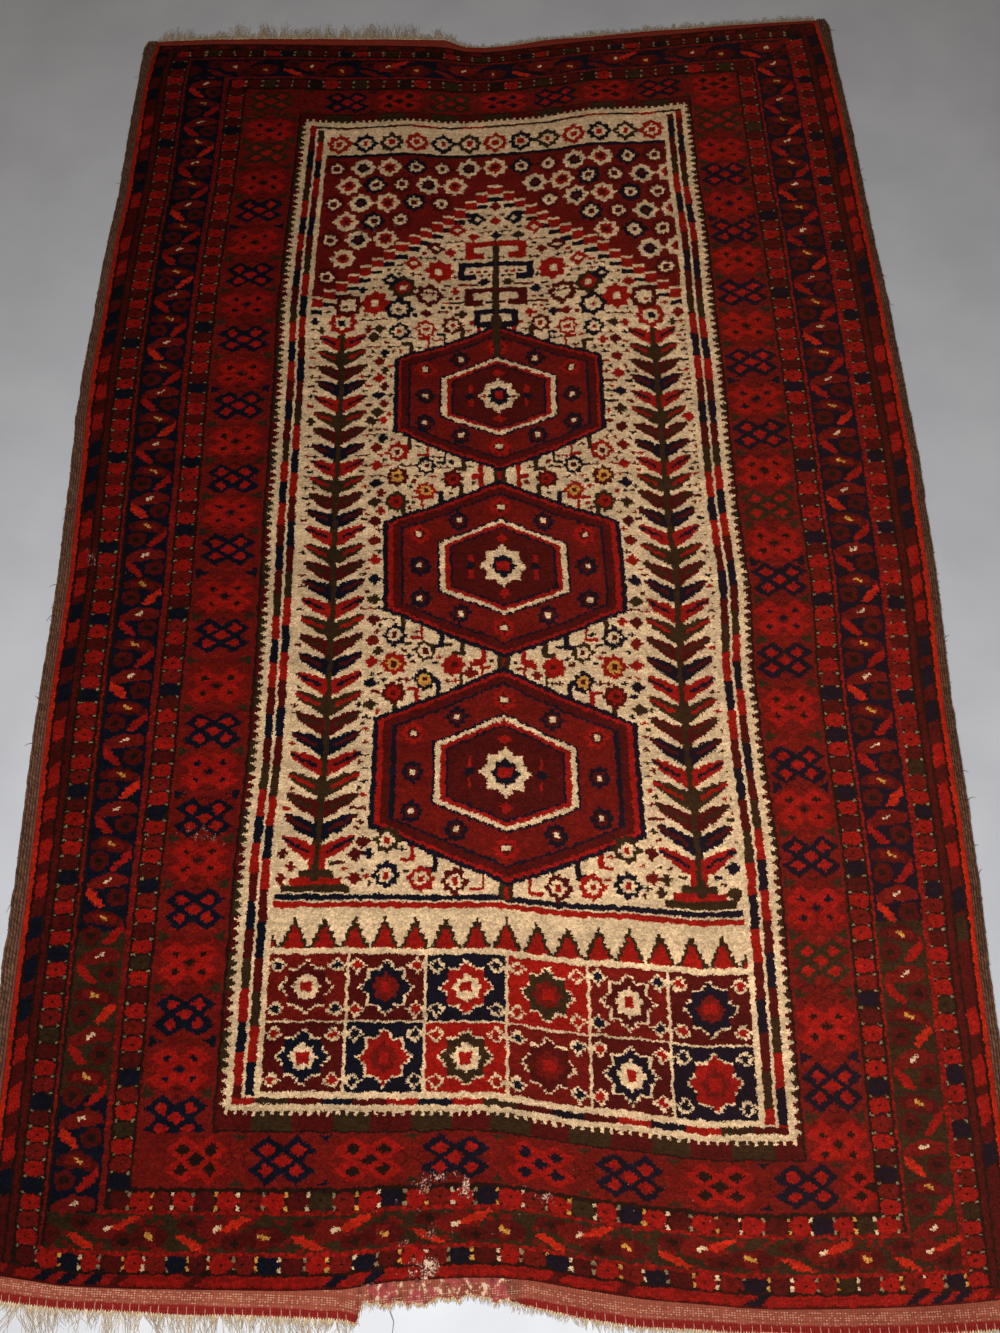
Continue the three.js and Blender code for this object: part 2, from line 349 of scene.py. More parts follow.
def knotwork_band(band, side):
    """Motifs in a row, with a zigzag outline and a triangle at each edge between two of them."""
    band.fill(MADDER)
    places = marks(band, KNOTWORK[side])
    turns = [(one[1] + other[1]) / 2 for one, other in zip(places, places[1:])]
    edge = band.half - np.abs(band.across)
    for k, turn in enumerate(turns):
        away = np.abs(band.along - turn)
        reach = 6.5 if band.upright else 8.5
        yarn = INDIGO if k % 5 == 1 else WALNUT
        slope = 0.42 if band.upright else 0.95
        swing = np.abs(np.abs(np.abs(band.across) - LOBE_ACROSS) - LOBE_ACROSS)
        zigzag = np.abs(swing * slope + 3.2 - away)
        band.draw((zigzag < 1.2) & (edge > 10), (WINE, BRICK)[k % 2])
        band.draw((edge > 1.5) & (edge / (17 if band.upright else 8) + away / (reach + 1) < 1), yarn)
    for k, (yarn, place) in enumerate(places):
        x, y = (band.middle, place) if band.upright else (place, band.middle)
        knotwork(band, x, y, yarn, SCARLET if yarn != SCARLET else (UMBER, INDIGO, UMBER)[k % 3])


def beads_band(band, side, where):
    """A row of rounded boxes in two reds, with dots at the corners between them. Some are of another yarn."""
    pitch = 15.3 if band.upright else 21.6
    special = marks(band, BEADS[where, side]) if (where, side) in BEADS else []
    band.fill(UMBER)
    first = band.along.min() + pitch / 2
    for k in range(int((band.along.max() - first) / pitch) + 2):
        middle = first + k * pitch
        yarn = SCARLET if k % 2 else (WINE, MADDER)[k // 2 % 2]
        if side == "far":
            yarn = (SCARLET, WINE, WALNUT, WINE, WINE, UMBER)[k % 6]
        for marked, place in special:
            if abs(place - middle) < pitch / 2:
                yarn = marked
        u = (band.along - middle) / (pitch / 2 - 0.6)
        w = band.across / (band.half - 0.6)
        band.draw(np.abs(u) ** 3.4 + np.abs(w) ** 3.4 < 1, yarn)
        band.dot(middle, 0, 1, UMBER if yarn != UMBER else WINE)
        light = (DUN, GOLD, IVORY)[k % 3] if side == "near" else DUN
        for end in (-1, 1):
            if band.upright:
                band.dot(middle + pitch / 2, end * (band.half - KNOT_WIDE / 2), 1, light)
            else:
                band.dot(middle + pitch / 2, end * (band.half - ROW_HIGH * 1.5) - ROW_HIGH / 2, 2, light)


def guard_band(band, side):
    """Slanted blocks of bright yarn on a dark red ground. At the near end it is almost all scarlet."""
    band.fill(SCARLET if side == "near" else WINE)
    if side == "far":
        band.draw(np.random.default_rng(9).random(band.knots.shape) < 0.4, UMBER)
        band.draw((np.abs(band.along % 41 - 20) < 7) & (np.abs(band.across) < 3), MADDER)
    if side == "near":
        band.draw(np.random.default_rng(8).random(band.knots.shape) < 0.4, BRICK)
    for yarn, place in marks(band, GUARD[side]):
        slant = band.across * (0.5 if band.upright else 1.2)
        band.draw(np.abs(band.along - place - slant) < (11.5 if band.upright else 6.5), yarn)


def leaves_band(band, side):
    """Drooping flowers with a light dash, and by turns on each side a bright leaf and a ringed leaf."""
    pitch = 37.6 if band.upright else 54.6
    band.fill(INDIGO if side == "far" else WALNUT)
    if band.upright:
        band.draw(band.along > band.at(-468), INDIGO)
        if side == "left":
            band.draw((band.along < band.at(-624)) & (band.along > band.at(-730)), INDIGO)
    if side == "near":
        high, wide = band.knots.shape
        chances = np.random.default_rng(17).random((high // 2 + 1, wide // 2 + 1))
        band.draw(np.kron(chances, np.ones((2, 2)))[:high, :wide] < 0.24, MADDER)
    a = band.across / band.half
    start = band.along.min()
    for k in range(int((band.along.max() - start) / pitch) + 3):
        s = 1 if k % 2 else -1
        b = (band.along - start) / pitch - k - (0 if band.upright else 0.11 * s)
        low = 0 if band.upright else 0.2 * s
        droop = s * 0.08 * a - 0.13 * a * a
        if band.upright:
            outline = 0.2 * np.sqrt(np.clip(1 - (a / 0.96) ** 2, 0, 1))
            flower = (np.abs(a) < 0.93) & (np.abs(b - droop) < outline)
        else:
            flower = (np.abs(a - low) / 0.62) ** 2 + (np.abs(b) / 0.36) ** 2 < 1
        ringed = ((a - 0.48 * s) / 0.44) ** 2 + ((b + 0.47) / 0.25) ** 2 < 1
        ring_middle = ((a - 0.5 * s) / 0.2) ** 2 + ((b + 0.47) / 0.09) ** 2 < 1
        t = (a + 0.52 * s) * s
        leaf = np.abs(b + 0.47 + 0.5 * t) < 0.15 * np.sqrt(np.clip(1 - (t / 0.42) ** 2, 0, 1))
        stem = (np.abs(a + 0.86 * s) < 0.07) & (b > -0.36) & (b < -0.08)
        band.draw(ringed, WINE)
        band.draw(ring_middle, UMBER)
        band.draw(flower, (WINE, MADDER)[k % 2])
        band.draw(flower & (np.abs(a - low) < 0.5) & (np.abs(b - droop * band.upright) < 0.1), MADDER)
        band.draw(stem, MADDER)
        band.draw(leaf, MADDER if side == "far" and k % 3 else (CORAL, SCARLET)[band.upright and k % 3 > 0])
        tilt = 0.22 * s * a if band.upright else 0.14 * s * a
        dash = (np.abs(a - low) < 0.2) & (np.abs(b - droop * band.upright - tilt) < 0.04)
        if not band.upright:
            dash = (np.abs(a - low - 1.3 * s * b) < 0.13) & (np.abs(b) < (0.05 if side == "far" else 0.09))
        band.draw(dash, IVORY if k % 2 else GOLD)


def blocks_band(band, side):
    """Plain blocks of dark brown and dark red by turns."""
    band.knots[:] = np.where((band.along // 37).astype(int) % 2, WALNUT, WINE)


# Where motifs lie along each side, and their yarns
KNOTWORK = {
    "left": """i-644 s-600 i-550 s-501 i-448 s-398 i-353 s-303 i-257 s-205 i-145 s-96 i-36 s12 i59 s110
        i163 s211 i263 s317 i365 s419 i474 s523 b577 s619 b661""",
    "right": """s-671 i-621 s-567 b-506 s-455 i-403 s-353 i-306 s-242 i-187 s-137 i-89 s-43 b6 s53 i104
        s153 i208 s262 i315 s368 i415 s461 i513 s557 b611 s657 i694""",
    "near": "s-270 i-190 s-110 i-30 s48 i129 s210 i289 s357",
    "far": "b-300 i-194 s-121 b-50 s22 i94 s163 i237 s312",
}
BEADS = {
    ("out", "left"): "i748 i606 i267 i185 i85 i-31 i-123 i-214 i-328 i-413 i-498 b-568 i-631 i-704",
    ("in", "left"): "i616 i286 i193 i84 i-2 i-123 i-211 i-353 i-426 b-506 i-608 b-648 i-693",
    ("out", "right"): """i762 i686 i581 i496 i379 i281 i179 i65 i-20 i-122 i-231 b-303 i-365 i-432 b-544 i-604
        i-665 b-721""",
    ("in", "right"): "b594 i446 i313 i163 i66 i-31 i-122 i-219 i-277 i-337 i-417 i-545 i-618 i-693",
    ("out", "near"): "i-377 i-284 i-197 i-112 i-26 i54 i139 i231 b317 i404",
    ("in", "near"): "b-156 i-89 i-8 b78 i132 i299 b345",
    ("out", "far"): "i-281 i-194 i-86 i62 i172 i249 i330",
}
GUARD = {
    "left": """i777 i737 i694 s641 s603 i556 i523 s497 s423 s382 i342 i302 i271 s230 s188 s144 i105 i69
        i30 s-5 s-45 s-80 i-113 s-136 i-168 i-211 s-253 s-305 s-342 s-386 s-423 i-465 i-505 i-542
        s-581 s-625 s-669 i-698""",
    "right": """i756 i719 s675 s633 s599 i562 i536 s500 s456 s419 s390 i352 i317 i284 s215 s171 s130 s88
        i53 i15 i-16 s-63 s-100 s-132 i-174 i-209 i-249 s-298 s-340 s-361 s-403 i-448 b-476 s-563
        s-608 s-642 i-679""",
    "near": "w-430 i-398 i-376 i-352 w-330 w-262 i-136 i-102 w60 w120 i236 i372 i394 i412 w440",
    "far": "",
}


def plain_band(yarn):
    return lambda band, side: band.fill(yarn)


def edge_line(band, side):
    """The outermost line: dark red against the near flat-woven end, and almost black elsewhere."""
    band.fill(WINE if side == "near" else UMBER)


def dull_line(band, side):
    """A line of dark red with bright knots here and there."""
    band.fill(MADDER)
    bright = 0.12 if side in ("left", "far") else 0.45
    band.draw(np.random.default_rng(band.knots.size).random(band.knots.shape) < bright, SCARLET)


# The borders as nested frames from the rug's edge in: how each is drawn, and its width in knots on the left
# and on the right and in rows on the near and the far end
FRAMES = [
    (plain_band(CORAL), 2, 2, 0, 0),
    (edge_line, 1, 1, 1, 0),
    (guard_band, 4, 4, 5, 9),
    (plain_band(UMBER), 1, 1, 1, 0),
    (plain_band(WINE), 2, 2, 0, 0),
    (plain_band(UMBER), 1, 1, 0, 0),
    (lambda band, side: beads_band(band, side, "out"), 7, 6, 7, 5),
    (plain_band(UMBER), 1, 0, 0, 2),
    (dull_line, 1, 2, 2, 2),
    (plain_band(UMBER), 1, 0, 0, 0),
    (leaves_band, 17, 17, 16, 19),
    (dull_line, 2, 1, 2, 2),
    (plain_band(UMBER), 1, 1, 0, 1),
    (lambda band, side: beads_band(band, side, "in"), 7, 7, 8, 9),
    (plain_band(UMBER), 1, 1, 2, 2),
    (knotwork_band, 26, 23, 25, 25),
    (plain_band(UMBER), 1, 1, 1, 1),
    (blocks_band, 2, 2, 9, 8),
    (blocks_band, 1, 0, 1, 1),
]
left, right, near, far = 0, KNOTS, 0, ROWS
for knot_frame, left_wide, right_wide, near_high, far_high in FRAMES:
    if left_wide:
        knot_frame(Band(left, left + left_wide, near, far, True), "left")
    if right_wide:
        knot_frame(Band(right - right_wide, right, near, far, True), "right")
    if near_high:
        knot_frame(Band(left, right, near, near + near_high, False), "near")
    if far_high:
        knot_frame(Band(left, right, far - far_high, far, False), "far")
    left, right, near, far = left + left_wide, right - right_wide, near + near_high, far - far_high

# The field: undyed ivory with saw teeth that bite into the border, and thin lines of short coloured lengths
chart[near:far, left:right] = IVORY
row, knot = np.mgrid[0:ROWS, 0:KNOTS]
within_rows = (row >= near) & (row < far)
within_knots = (knot >= left) & (knot < right)
side_tooth = 2 - np.abs(row % 5 - 2)
end_tooth = 3 - 2 * np.abs(knot % 3 - 1)
chart[within_rows & (np.abs(knot + 0.5 - (left + right) / 2) < (right - left) / 2 + side_tooth)] = IVORY
chart[within_knots & (row >= near - end_tooth) & (row < far + end_tooth)] = IVORY


def barber(first_knot, last_knot, first_row, last_row, upright, yarns, long, shift=0.0):
    """A line made of short lengths of yarns by turns."""
    line = Band(first_knot, last_knot, first_row, last_row, upright)
    line.knots[:] = np.array(yarns)[((line.along + shift) // long).astype(int) % len(yarns)]


BARBER_YARNS = (INDIGO, SCARLET, WALNUT, WINE, INDIGO, WINE, SCARLET)
barber(left + 2, left + 5, near + 2, far - 3, True, BARBER_YARNS, 29)
barber(left + 6, left + 9, near + 6, far - 7, True, BARBER_YARNS, 33, 70)
barber(right - 5, right - 2, near + 2, far - 3, True, BARBER_YARNS, 30, 45)
barber(right - 9, right - 6, near + 6, far - 7, True, BARBER_YARNS, 32, 110)
barber(left + 2, right - 2, near + 2, near + 5, False, BARBER_YARNS, 31, 20)
barber(left + 2, right - 2, far - 5, far - 3, False, BARBER_YARNS, 34, 60)

# The middle of the field, drawn in mm from its middle line and its near edge: a stepped gable over three
# hooked medallions on a pole, a leafy tree at each side, and two rows of star tiles at the foot
across = (knot + 0.5 - (left + right) / 2) * KNOT_WIDE
up = (row + 0.5 - near) * ROW_HIGH
FREE_HALF = 234
FREE_TOP = 1248
inside = (np.abs(across) < FREE_HALF) & (up > 14) & (up < FREE_TOP)


def draw(mask, yarn):
    chart[mask & inside] = yarn


def lozenge(x, y, wide, high):
    return np.abs(across - x) / wide + np.abs(up - y) / high < 1


def box(x, y, wide, high):
    return (np.abs(across - x) < wide) & (np.abs(up - y) < high)


def star(x, y, size):
    """Eight points: a square over a lozenge."""
    return box(x, y, size * 0.8, size * 0.8) | lozenge(x, y, size * 1.18, size * 1.18)


def rosette(x, y, size, yarn, heart, middle):
    """A star with a star in it and a dot in the middle."""
    draw(star(x, y, size), yarn)
    draw(star(x, y, size * 0.58), heart)
    draw(box(x, y, size * 0.26, size * 0.26), middle)


TILE_WIDE = 78
TILE_HIGH = 65
for i in range(6):
    for j in range(2):
        x, y = (i - 2.5) * TILE_WIDE, 14 + (j + 0.5) * TILE_HIGH
        ground = (WINE, INDIGO, SCARLET, MADDER)[(i + 3 * j) % 4]
        draw(box(x, y, TILE_WIDE / 2 - 1.6, TILE_HIGH / 2 - 1.4), ground)
        draw(star(x, y, 23), IVORY)
        rosette(x, y, 21, (INDIGO, SCARLET, WALNUT, WINE)[(i + 3 * j) % 4], (IVORY, MADDER)[i % 2], SCARLET)
        for side in (-1, 1):
            for end in (-1, 1):
                draw(lozenge(x + side * 29, y + end * 21, 9, 8), IVORY)
                draw(lozenge(x + side * 29, y + end * 21, 6, 5), (SCARLET, INDIGO)[(i + j) % 2])
teeth = np.abs((across + 300) % 30 - 15) / 15
draw((np.abs(up - 168) < 19) & (teeth * 32 > up - 149), WALNUT)
draw((np.abs(up - 168) < 19) & (teeth * 32 - 9 > up - 149), SCARLET)
draw((np.abs(up - 192) < 3), SCARLET)
draw((np.abs(up - 199) < 3), INDIGO)


def hexagon(y, wide, high):
    """A place in an upright hexagon with a point at the top and the bottom."""
    return np.maximum(np.abs(across) / wide, np.abs(across) / wide / 2 + np.abs(up - y) / high)


def medallion(y, wide, high):
    """A hexagon of rings with hooks on its slopes, and a ring of small stars round a large one."""
    for side in (-1, 1):
        for end in (-1, 1):
            for k in range(1, 6):
                u, v = side * wide * k / 6, y + end * high * (1 - k / 12)
                yarn = (INDIGO, SCARLET, WALNUT)[k % 3]
                draw(box(u, v + end * 7, 2.4, 8.5), yarn)
                draw(box(u + side * 5, v + end * 13.5, 7, 2.4), yarn)
    away = hexagon(y, wide, high)
    rings = (
        (1, INDIGO), (0.955, SCARLET), (0.925, WINE), (0.85, INDIGO), (0.825, MADDER),
        (0.555, INDIGO), (0.53, IVORY), (0.49, SCARLET), (0.45, INDIGO), (0.425, WINE),
    )
    for share, yarn in rings:
        draw(away < share, yarn)
    rosette(0, y, high * 0.2, IVORY, INDIGO, SCARLET)
    for side in (-1, 1):
        for v in (-0.36, 0, 0.36):
            rosette(side * wide * 0.69, y + v * high, 11.5, SCARLET if v > 0 else INDIGO, WINE, IVORY)
        for u, v in ((0.36, 0.52), (0, 0.68)):
            for end in (-1, 1):
                rosette(side * u * wide, y + end * v * high, 11.5, (SCARLET, INDIGO)[u > 0], WINE, IVORY)
        draw(box(side * wide * 0.27, y, 2.4, high * 0.14), SCARLET)
        draw(lozenge(side * wide * 0.27, y, 7, 6), INDIGO)
        draw(lozenge(0, y + side * high * 0.31, 8, 6), SCARLET)


draw(box(0, 566, 6.4, 368), WALNUT)
draw(box(0, 566, 2.2, 368), SCARLET)
MEDALLIONS = ((332, 142, 120), (577, 136, 114), (811, 128, 108))
for y, wide, high in MEDALLIONS:
    medallion(y, wide, high)
STAR_YARNS = (INDIGO, SCARLET, WINE, WALNUT)
for y in (455, 694):
    for side in (-1, 1):
        stars = ((121, 34, 13), (121, 0, 13), (121, -34, 13), (87, 17, 12), (87, -17, 12), (55, 0, 12))
        for k, (x, v, size) in enumerate(stars):
            yarn, heart = STAR_YARNS[(k + (y > 500)) % 4], (IVORY, GOLD, SCARLET)[k % 3]
            rosette(side * x, y + v, size, yarn, heart, WINE)
LONE_STARS = ((121, 222), (86, 219), (52, 216), (121, 258), (121, 906), (88, 912), (55, 920))
for side in (-1, 1):
    for k, (x, y) in enumerate(LONE_STARS):
        rosette(side * x, y, 13, STAR_YARNS[k % 4], IVORY, SCARLET)

LEAF_YARNS = (SCARLET, INDIGO, WINE, WALNUT)
LEAF_PAIRS = 29
LEAF_STEP = 23
TREE_PLACE = 192
for side in (-1, 1):
    x = side * TREE_PLACE
    for k in range(4):
        draw(box(x, 208 + k * 8, 34 - k * 8, 4.2), (WALNUT, SCARLET)[k % 2])
    draw(box(x, 560, 4.4, 344), WALNUT)
    for k in range(LEAF_PAIRS):
        y = 242 + k * LEAF_STEP
        away = np.abs(across - x)
        reach = 39 - 0.3 * k
        thick = 9.4 * np.sqrt(np.clip(1 - (away / reach) ** 2, 0, 1))
        blade = (away > 3.6) & (np.abs(up - y - away * 0.5) < thick)
        draw(blade, LEAF_YARNS[k % 4])
        draw(blade & (np.abs(up - y - away * 0.5) < 2) & (away > 9), LEAF_YARNS[(k + 1) % 4])
    rosette(x, 922, 17, SCARLET, IVORY, INDIGO)

GABLE_FOOT = 936
GABLE_STEP = 15
GABLE_RISE = 12.4
GABLE_TOP = 1202
gable = up - GABLE_FOOT - np.floor((FREE_HALF - np.abs(across)) / GABLE_STEP) * GABLE_RISE
for over, yarn in ((0, INDIGO), (7, IVORY), (12, SCARLET), (24, IVORY), (28, MADDER)):
    draw((gable > over) & (up < GABLE_TOP), yarn)
for j in range(8):
    for i in range(-6, 7):
        x, y = i * 36 + (18 if j % 2 else 0), 1182 - j * 31
        if np.all(chart[star(x, y, 16) & inside] == MADDER):
            yarn, heart = ((IVORY, SCARLET), (INDIGO, IVORY), (WINE, IVORY), (IVORY, INDIGO))[(i + 2 * j) % 4]
            rosette(x, y, 15, yarn, heart, WINE)
draw((np.abs(up - 1205) < 3), INDIGO)
for k in range(13):
    x = (k - 6) * 36
    rosette(x, 1227, 16, (SCARLET, INDIGO, WALNUT)[k % 3], IVORY, SCARLET)
draw(box(0, 962, 5, 92), WALNUT)
for side in (-1, 1):
    for y, reach, yarn in ((1050, 34, SCARLET), (1016, 44, INDIGO), (974, 34, WINE), (940, 24, INDIGO)):
        draw(box(side * reach / 2, y, reach / 2, 4.4), yarn)
        draw(box(side * reach, y - 10, 5.2, 14), yarn)
        draw(box(side * (reach - 9), y - 20, 9, 4.4), yarn)
    for k, (x, y) in enumerate(((72, 1006), (84, 966), (118, 976), (122, 942), (152, 952), (186, 950))):
        rosette(side * x, y, 17, STAR_YARNS[(k + 1) % 4], (SCARLET, IVORY)[k % 2], IVORY)
    for k, (x, y) in enumerate(((50, 1076), (24, 1092), (78, 1044), (106, 1016), (134, 988))):
        draw(lozenge(side * x, y, 13, 12), (SCARLET, INDIGO, WINE)[k % 3])
        draw(lozenge(side * x, y, 5, 4), IVORY)

# Small crosses and lozenges fill the bare ivory


def still_bare(x, y, wide, high):
    """Whether the field is plain ivory round a place."""
    first, last = (round((x + way * wide) / KNOT_WIDE + (left + right) / 2) for way in (-1, 1))
    low, top = (near + round((y + way * high) / ROW_HIGH) for way in (-1, 1))
    return np.all(chart[low:top, first:last] == IVORY)


for j in range(78):
    for i in range(-16, 17):
        x, y = i * 14.6 + (7.3 if j % 2 else 0), 206 + j * 12.6
        if not still_bare(x, y, 7.8, 7.0):
            continue
        yarn = (SCARLET, INDIGO, WALNUT, WINE, MADDER)[(3 * i + 2 * j) % 5]
        if (i + j) % 2:
            draw(box(x, y, 6.2, 2.0) | box(x, y, 3.0, 5.8), yarn)
        else:
            draw(lozenge(x, y, 9.0, 7.8), yarn)
for j in range(138):
    for i in range(-26, 27):
        x, y = (i + 0.5 * (j % 2)) * 8.8, 206 + j * 7.2
        if still_bare(x, y, 5.6, 5.0):
            yarn = (SCARLET, WINE, INDIGO, MADDER, WALNUT)[(2 * i + j) % 5]
            draw(box(x, y, 1.6, 2.2) | box(x, y, 3.4, 1.2), yarn)

# The pile as one closed cloth: a grid of places two knots by four rows apart, with a flat underside. Each
# face carries the yarns of its knots as digits, which the material reads knot by knot.
PILE_THICK = 7.0
WORN_DEEP = 3.4
EDGE_DEEP = 2.2
KNOTS_A_FACE = 2
ROWS_A_FACE = 4
DIGITS = len(YARNS)

# Places where the pile is worn: middle, reach across, reach along, and how bare it is there
WORN_PLACES = [
    (-58, -770, 24, 15, 0.86),
    (-96, -786, 32, 8, 0.84),
    (-22, -786, 12, 10, 0.86),
    (-53, -744, 9, 10, 0.78),
    (-66, -727, 6, 7, 0.84),
    (-76, -750, 6, 8, 0.74),
    (-60, -703, 14, 8, 0.86),
    (-22, -704, 11, 10, 0.84),
    (-40, -696, 28, 7, 0.72),
    (50, -714, 30, 5, 0.7),
    (48, -752, 6, 7, 0.7),
    (-40, -750, 60, 40, 0.36),
    (-64, -640, 26, 18, 0.4),
    (-300, -372, 56, 26, 0.5),
    (-352, -395, 12, 56, 0.46),
    (-412, -70, 14, 60, 0.42),
    (-455, -46, 10, 50, 0.54),
    (-172, 434, 60, 40, 0.5),
    (-120, 448, 26, 40, 0.36),
    (60, -720, 420, 60, 0.28),
]


def waves(x, y, long, seed, kinds=5):
    """Smooth unevenness from -1 to 1: a few slow waves in several directions."""
    chance = np.random.default_rng(seed)
    total = np.zeros_like(x, float)
    for _ in range(kinds):
        turn, phase = chance.uniform(0, 2 * math.pi, 2)
        stretch = long * chance.uniform(0.7, 1.5)
        total += np.sin((x * math.cos(turn) + y * math.sin(turn)) / stretch * 2 * math.pi + phase)
    return total / kinds**0.5 / 1.4


def wear_at(x, y):
    wear = np.zeros_like(x, float)
    for place_x, place_y, reach_x, reach_y, bare in WORN_PLACES:
        away = ((x - place_x) / reach_x) ** 2 + ((y - place_y) / reach_y) ** 2
        wear = np.maximum(wear, bare * np.exp(-away))
    return wear


def give(mesh, name, values, kind="POINT"):
    """Gives a mesh a number at each of its places or faces, for its material to read."""
    mesh.attributes.new(name, "FLOAT", kind).data.foreach_set("value", values.astype(np.float32))


def slab(name, x, y, top, u, v):
    """A closed cloth over a grid of places in mm, flat underneath, with u and v as its map."""
    rows, columns = x.shape
    count = rows * columns
    corner = np.arange(count).reshape(rows, columns)
    a, b, c, d = corner[:-1, :-1], corner[:-1, 1:], corner[1:, 1:], corner[1:, :-1]
    upper = np.stack((a, b, c, d), -1).reshape(-1, 4)
    rim = np.concatenate((corner[0, :-1], corner[:-1, -1], corner[-1, :0:-1], corner[:0:-1, 0]))
    after = np.roll(rim, -1)
    walls = np.stack((rim + count, after + count, after, rim), -1)
    faces = np.concatenate((upper, upper[:, ::-1] + count, walls))
    places = np.concatenate([np.stack((x, y, z), -1) for z in (top, np.zeros_like(x))]).reshape(-1, 3)
    mesh = bpy.data.meshes.new(name)
    mesh.from_pydata(places * MM, [], faces)
    layer = mesh.uv_layers.new(name="chart")
    chart_map = np.stack((u, v), -1).reshape(-1, 2)
    layer.uv.foreach_set("vector", np.concatenate((chart_map, chart_map))[faces.ravel()].ravel())
    mesh.shade_smooth()
    mesh.set_sharp_from_angle(angle=math.radians(50))
    return place_object(name, mesh)


def edge_fall(x, y, sides, reach):
    """How near a place is to the edge of a cloth: 1 at its edge, falling to 0 at a reach from it."""
    inwards = np.minimum.reduce(
        [
            x - side_at(sides, "left", y),
            side_at(sides, "right", y) - x,
            y - np.interp(x, *sides["near"].T),
            np.interp(x, *sides["far"].T) - y,
        ]
    )
    return np.clip(1 - inwards / reach, 0, 1)


grid_u, grid_v = np.meshgrid(np.arange(0, KNOTS + 1, KNOTS_A_FACE), np.arange(0, ROWS + 1, ROWS_A_FACE))
pile_x, pile_y = pile_place(grid_u.astype(float), grid_v.astype(float))
pile_wear = wear_at(pile_x, pile_y)
pile_top = (
    PILE_THICK
    + 0.6 * waves(pile_x, pile_y, 420, 3)
    + 0.28 * waves(pile_x, pile_y, 70, 4)
    + np.random.default_rng(5).normal(0, 0.12, pile_x.shape)
    - WORN_DEEP * np.clip(pile_wear, 0, 1) ** 1.5
    - EDGE_DEEP * edge_fall(pile_x, pile_y, pile_sides, 6) ** 2
)
edge_in = 0.01
grid_rows, grid_columns = ROWS // ROWS_A_FACE, KNOTS // KNOTS_A_FACE
pile = slab(
    "pile", pile_x, pile_y, pile_top,
    np.clip(grid_u, edge_in, KNOTS - edge_in), np.clip(grid_v, edge_in, ROWS - edge_in),
)
around = np.pad(chart, 1, mode="edge")
for column in range(KNOTS_A_FACE + 2):
    number = 0
    for row in range(ROWS_A_FACE + 2):
        part = around[row::ROWS_A_FACE, column::KNOTS_A_FACE][:grid_rows, :grid_columns]
        number = number + part * DIGITS**row
    rim = np.concatenate((number[0], number[:, -1], number[-1, ::-1], number[::-1, 0]))
    give(pile.data, f"yarns_{column}", np.concatenate((number.ravel(), number.ravel(), rim)), "FACE")
give(pile.data, "wear", np.tile(pile_wear.ravel(), 2))

# Hand-knotted wool pile: matt and a little woolly, each knot a shade of its own, with dye that changes from
# row to row, and streaks of bare warp where it is worn
wool, add = finish_for("cut wool pile")
map_node = add("UVMap", uv_map="chart")
place = add("TexCoord").outputs["Object"]
fuzz = add("TexNoise", {"Vector": place, "Scale": 620.0, "Detail": 2.0})
drift = add("TexNoise", {"Vector": place, "Scale": 130.0, "Detail": 1.0})
# Tufts lean over their neighbours, so the edge of a colour is woolly, and lines wander a little
lean = add("VectorMath SUBTRACT", fuzz.outputs["Color"], (0.5, 0.5, 0.5))
lean = add("VectorMath MULTIPLY", lean, (1.7, 2.6, 0.0))
wander = add("VectorMath SUBTRACT", drift.outputs["Color"], (0.5, 0.5, 0.5))
wander = add("VectorMath MULTIPLY", wander, (1.8, 2.8, 0.0))
moved = add("VectorMath ADD", lean, wander)
moved = add("VectorMath ADD", moved, map_node)
knot_number = add("VectorMath FLOOR", moved)
in_knot = add("VectorMath FRACTION", moved)
face_size = (KNOTS_A_FACE, ROWS_A_FACE, 1.0)
face_first = add("VectorMath DIVIDE", map_node, face_size)
face_first = add("VectorMath FLOOR", face_first)
face_first = add("VectorMath MULTIPLY", face_first, face_size)
in_face = add("VectorMath SUBTRACT", knot_number, face_first)
in_face = add("VectorMath ADD", in_face, (1.0, 1.0, 0.0))
in_face = add("VectorMath MAXIMUM", in_face, (0.0, 0.0, 0.0))
in_face = add("SeparateXYZ", {0: in_face})
column = in_face.outputs["X"]
row = add("Math MINIMUM", in_face.outputs["Y"], float(ROWS_A_FACE + 1))
chosen = add("Attribute", attribute_name="yarns_0").outputs["Fac"]
for k in range(1, KNOTS_A_FACE + 2):
    beside = add("Attribute", attribute_name=f"yarns_{k}").outputs["Fac"]
    past = add("Math GREATER_THAN", column, k - 0.5)
    chosen = add("Mix", {"Factor": past, "A": chosen, "B": beside}, data_type="FLOAT")
divisor = add("Math POWER", float(DIGITS), row)
digit = add("Math FLOOR", add("Math DIVIDE", add("Math ADD", chosen, 0.5), divisor))
digit = add("Math MODULO", digit, float(DIGITS))
yarn_share = add("Math DIVIDE", add("Math ADD", digit, 0.5), float(DIGITS))
palette = add("ValToRGB", {"Fac": yarn_share})
palette.color_ramp.interpolation = "CONSTANT"
stops(palette, [(k / DIGITS, colour) for k, colour in enumerate(YARNS.values())])

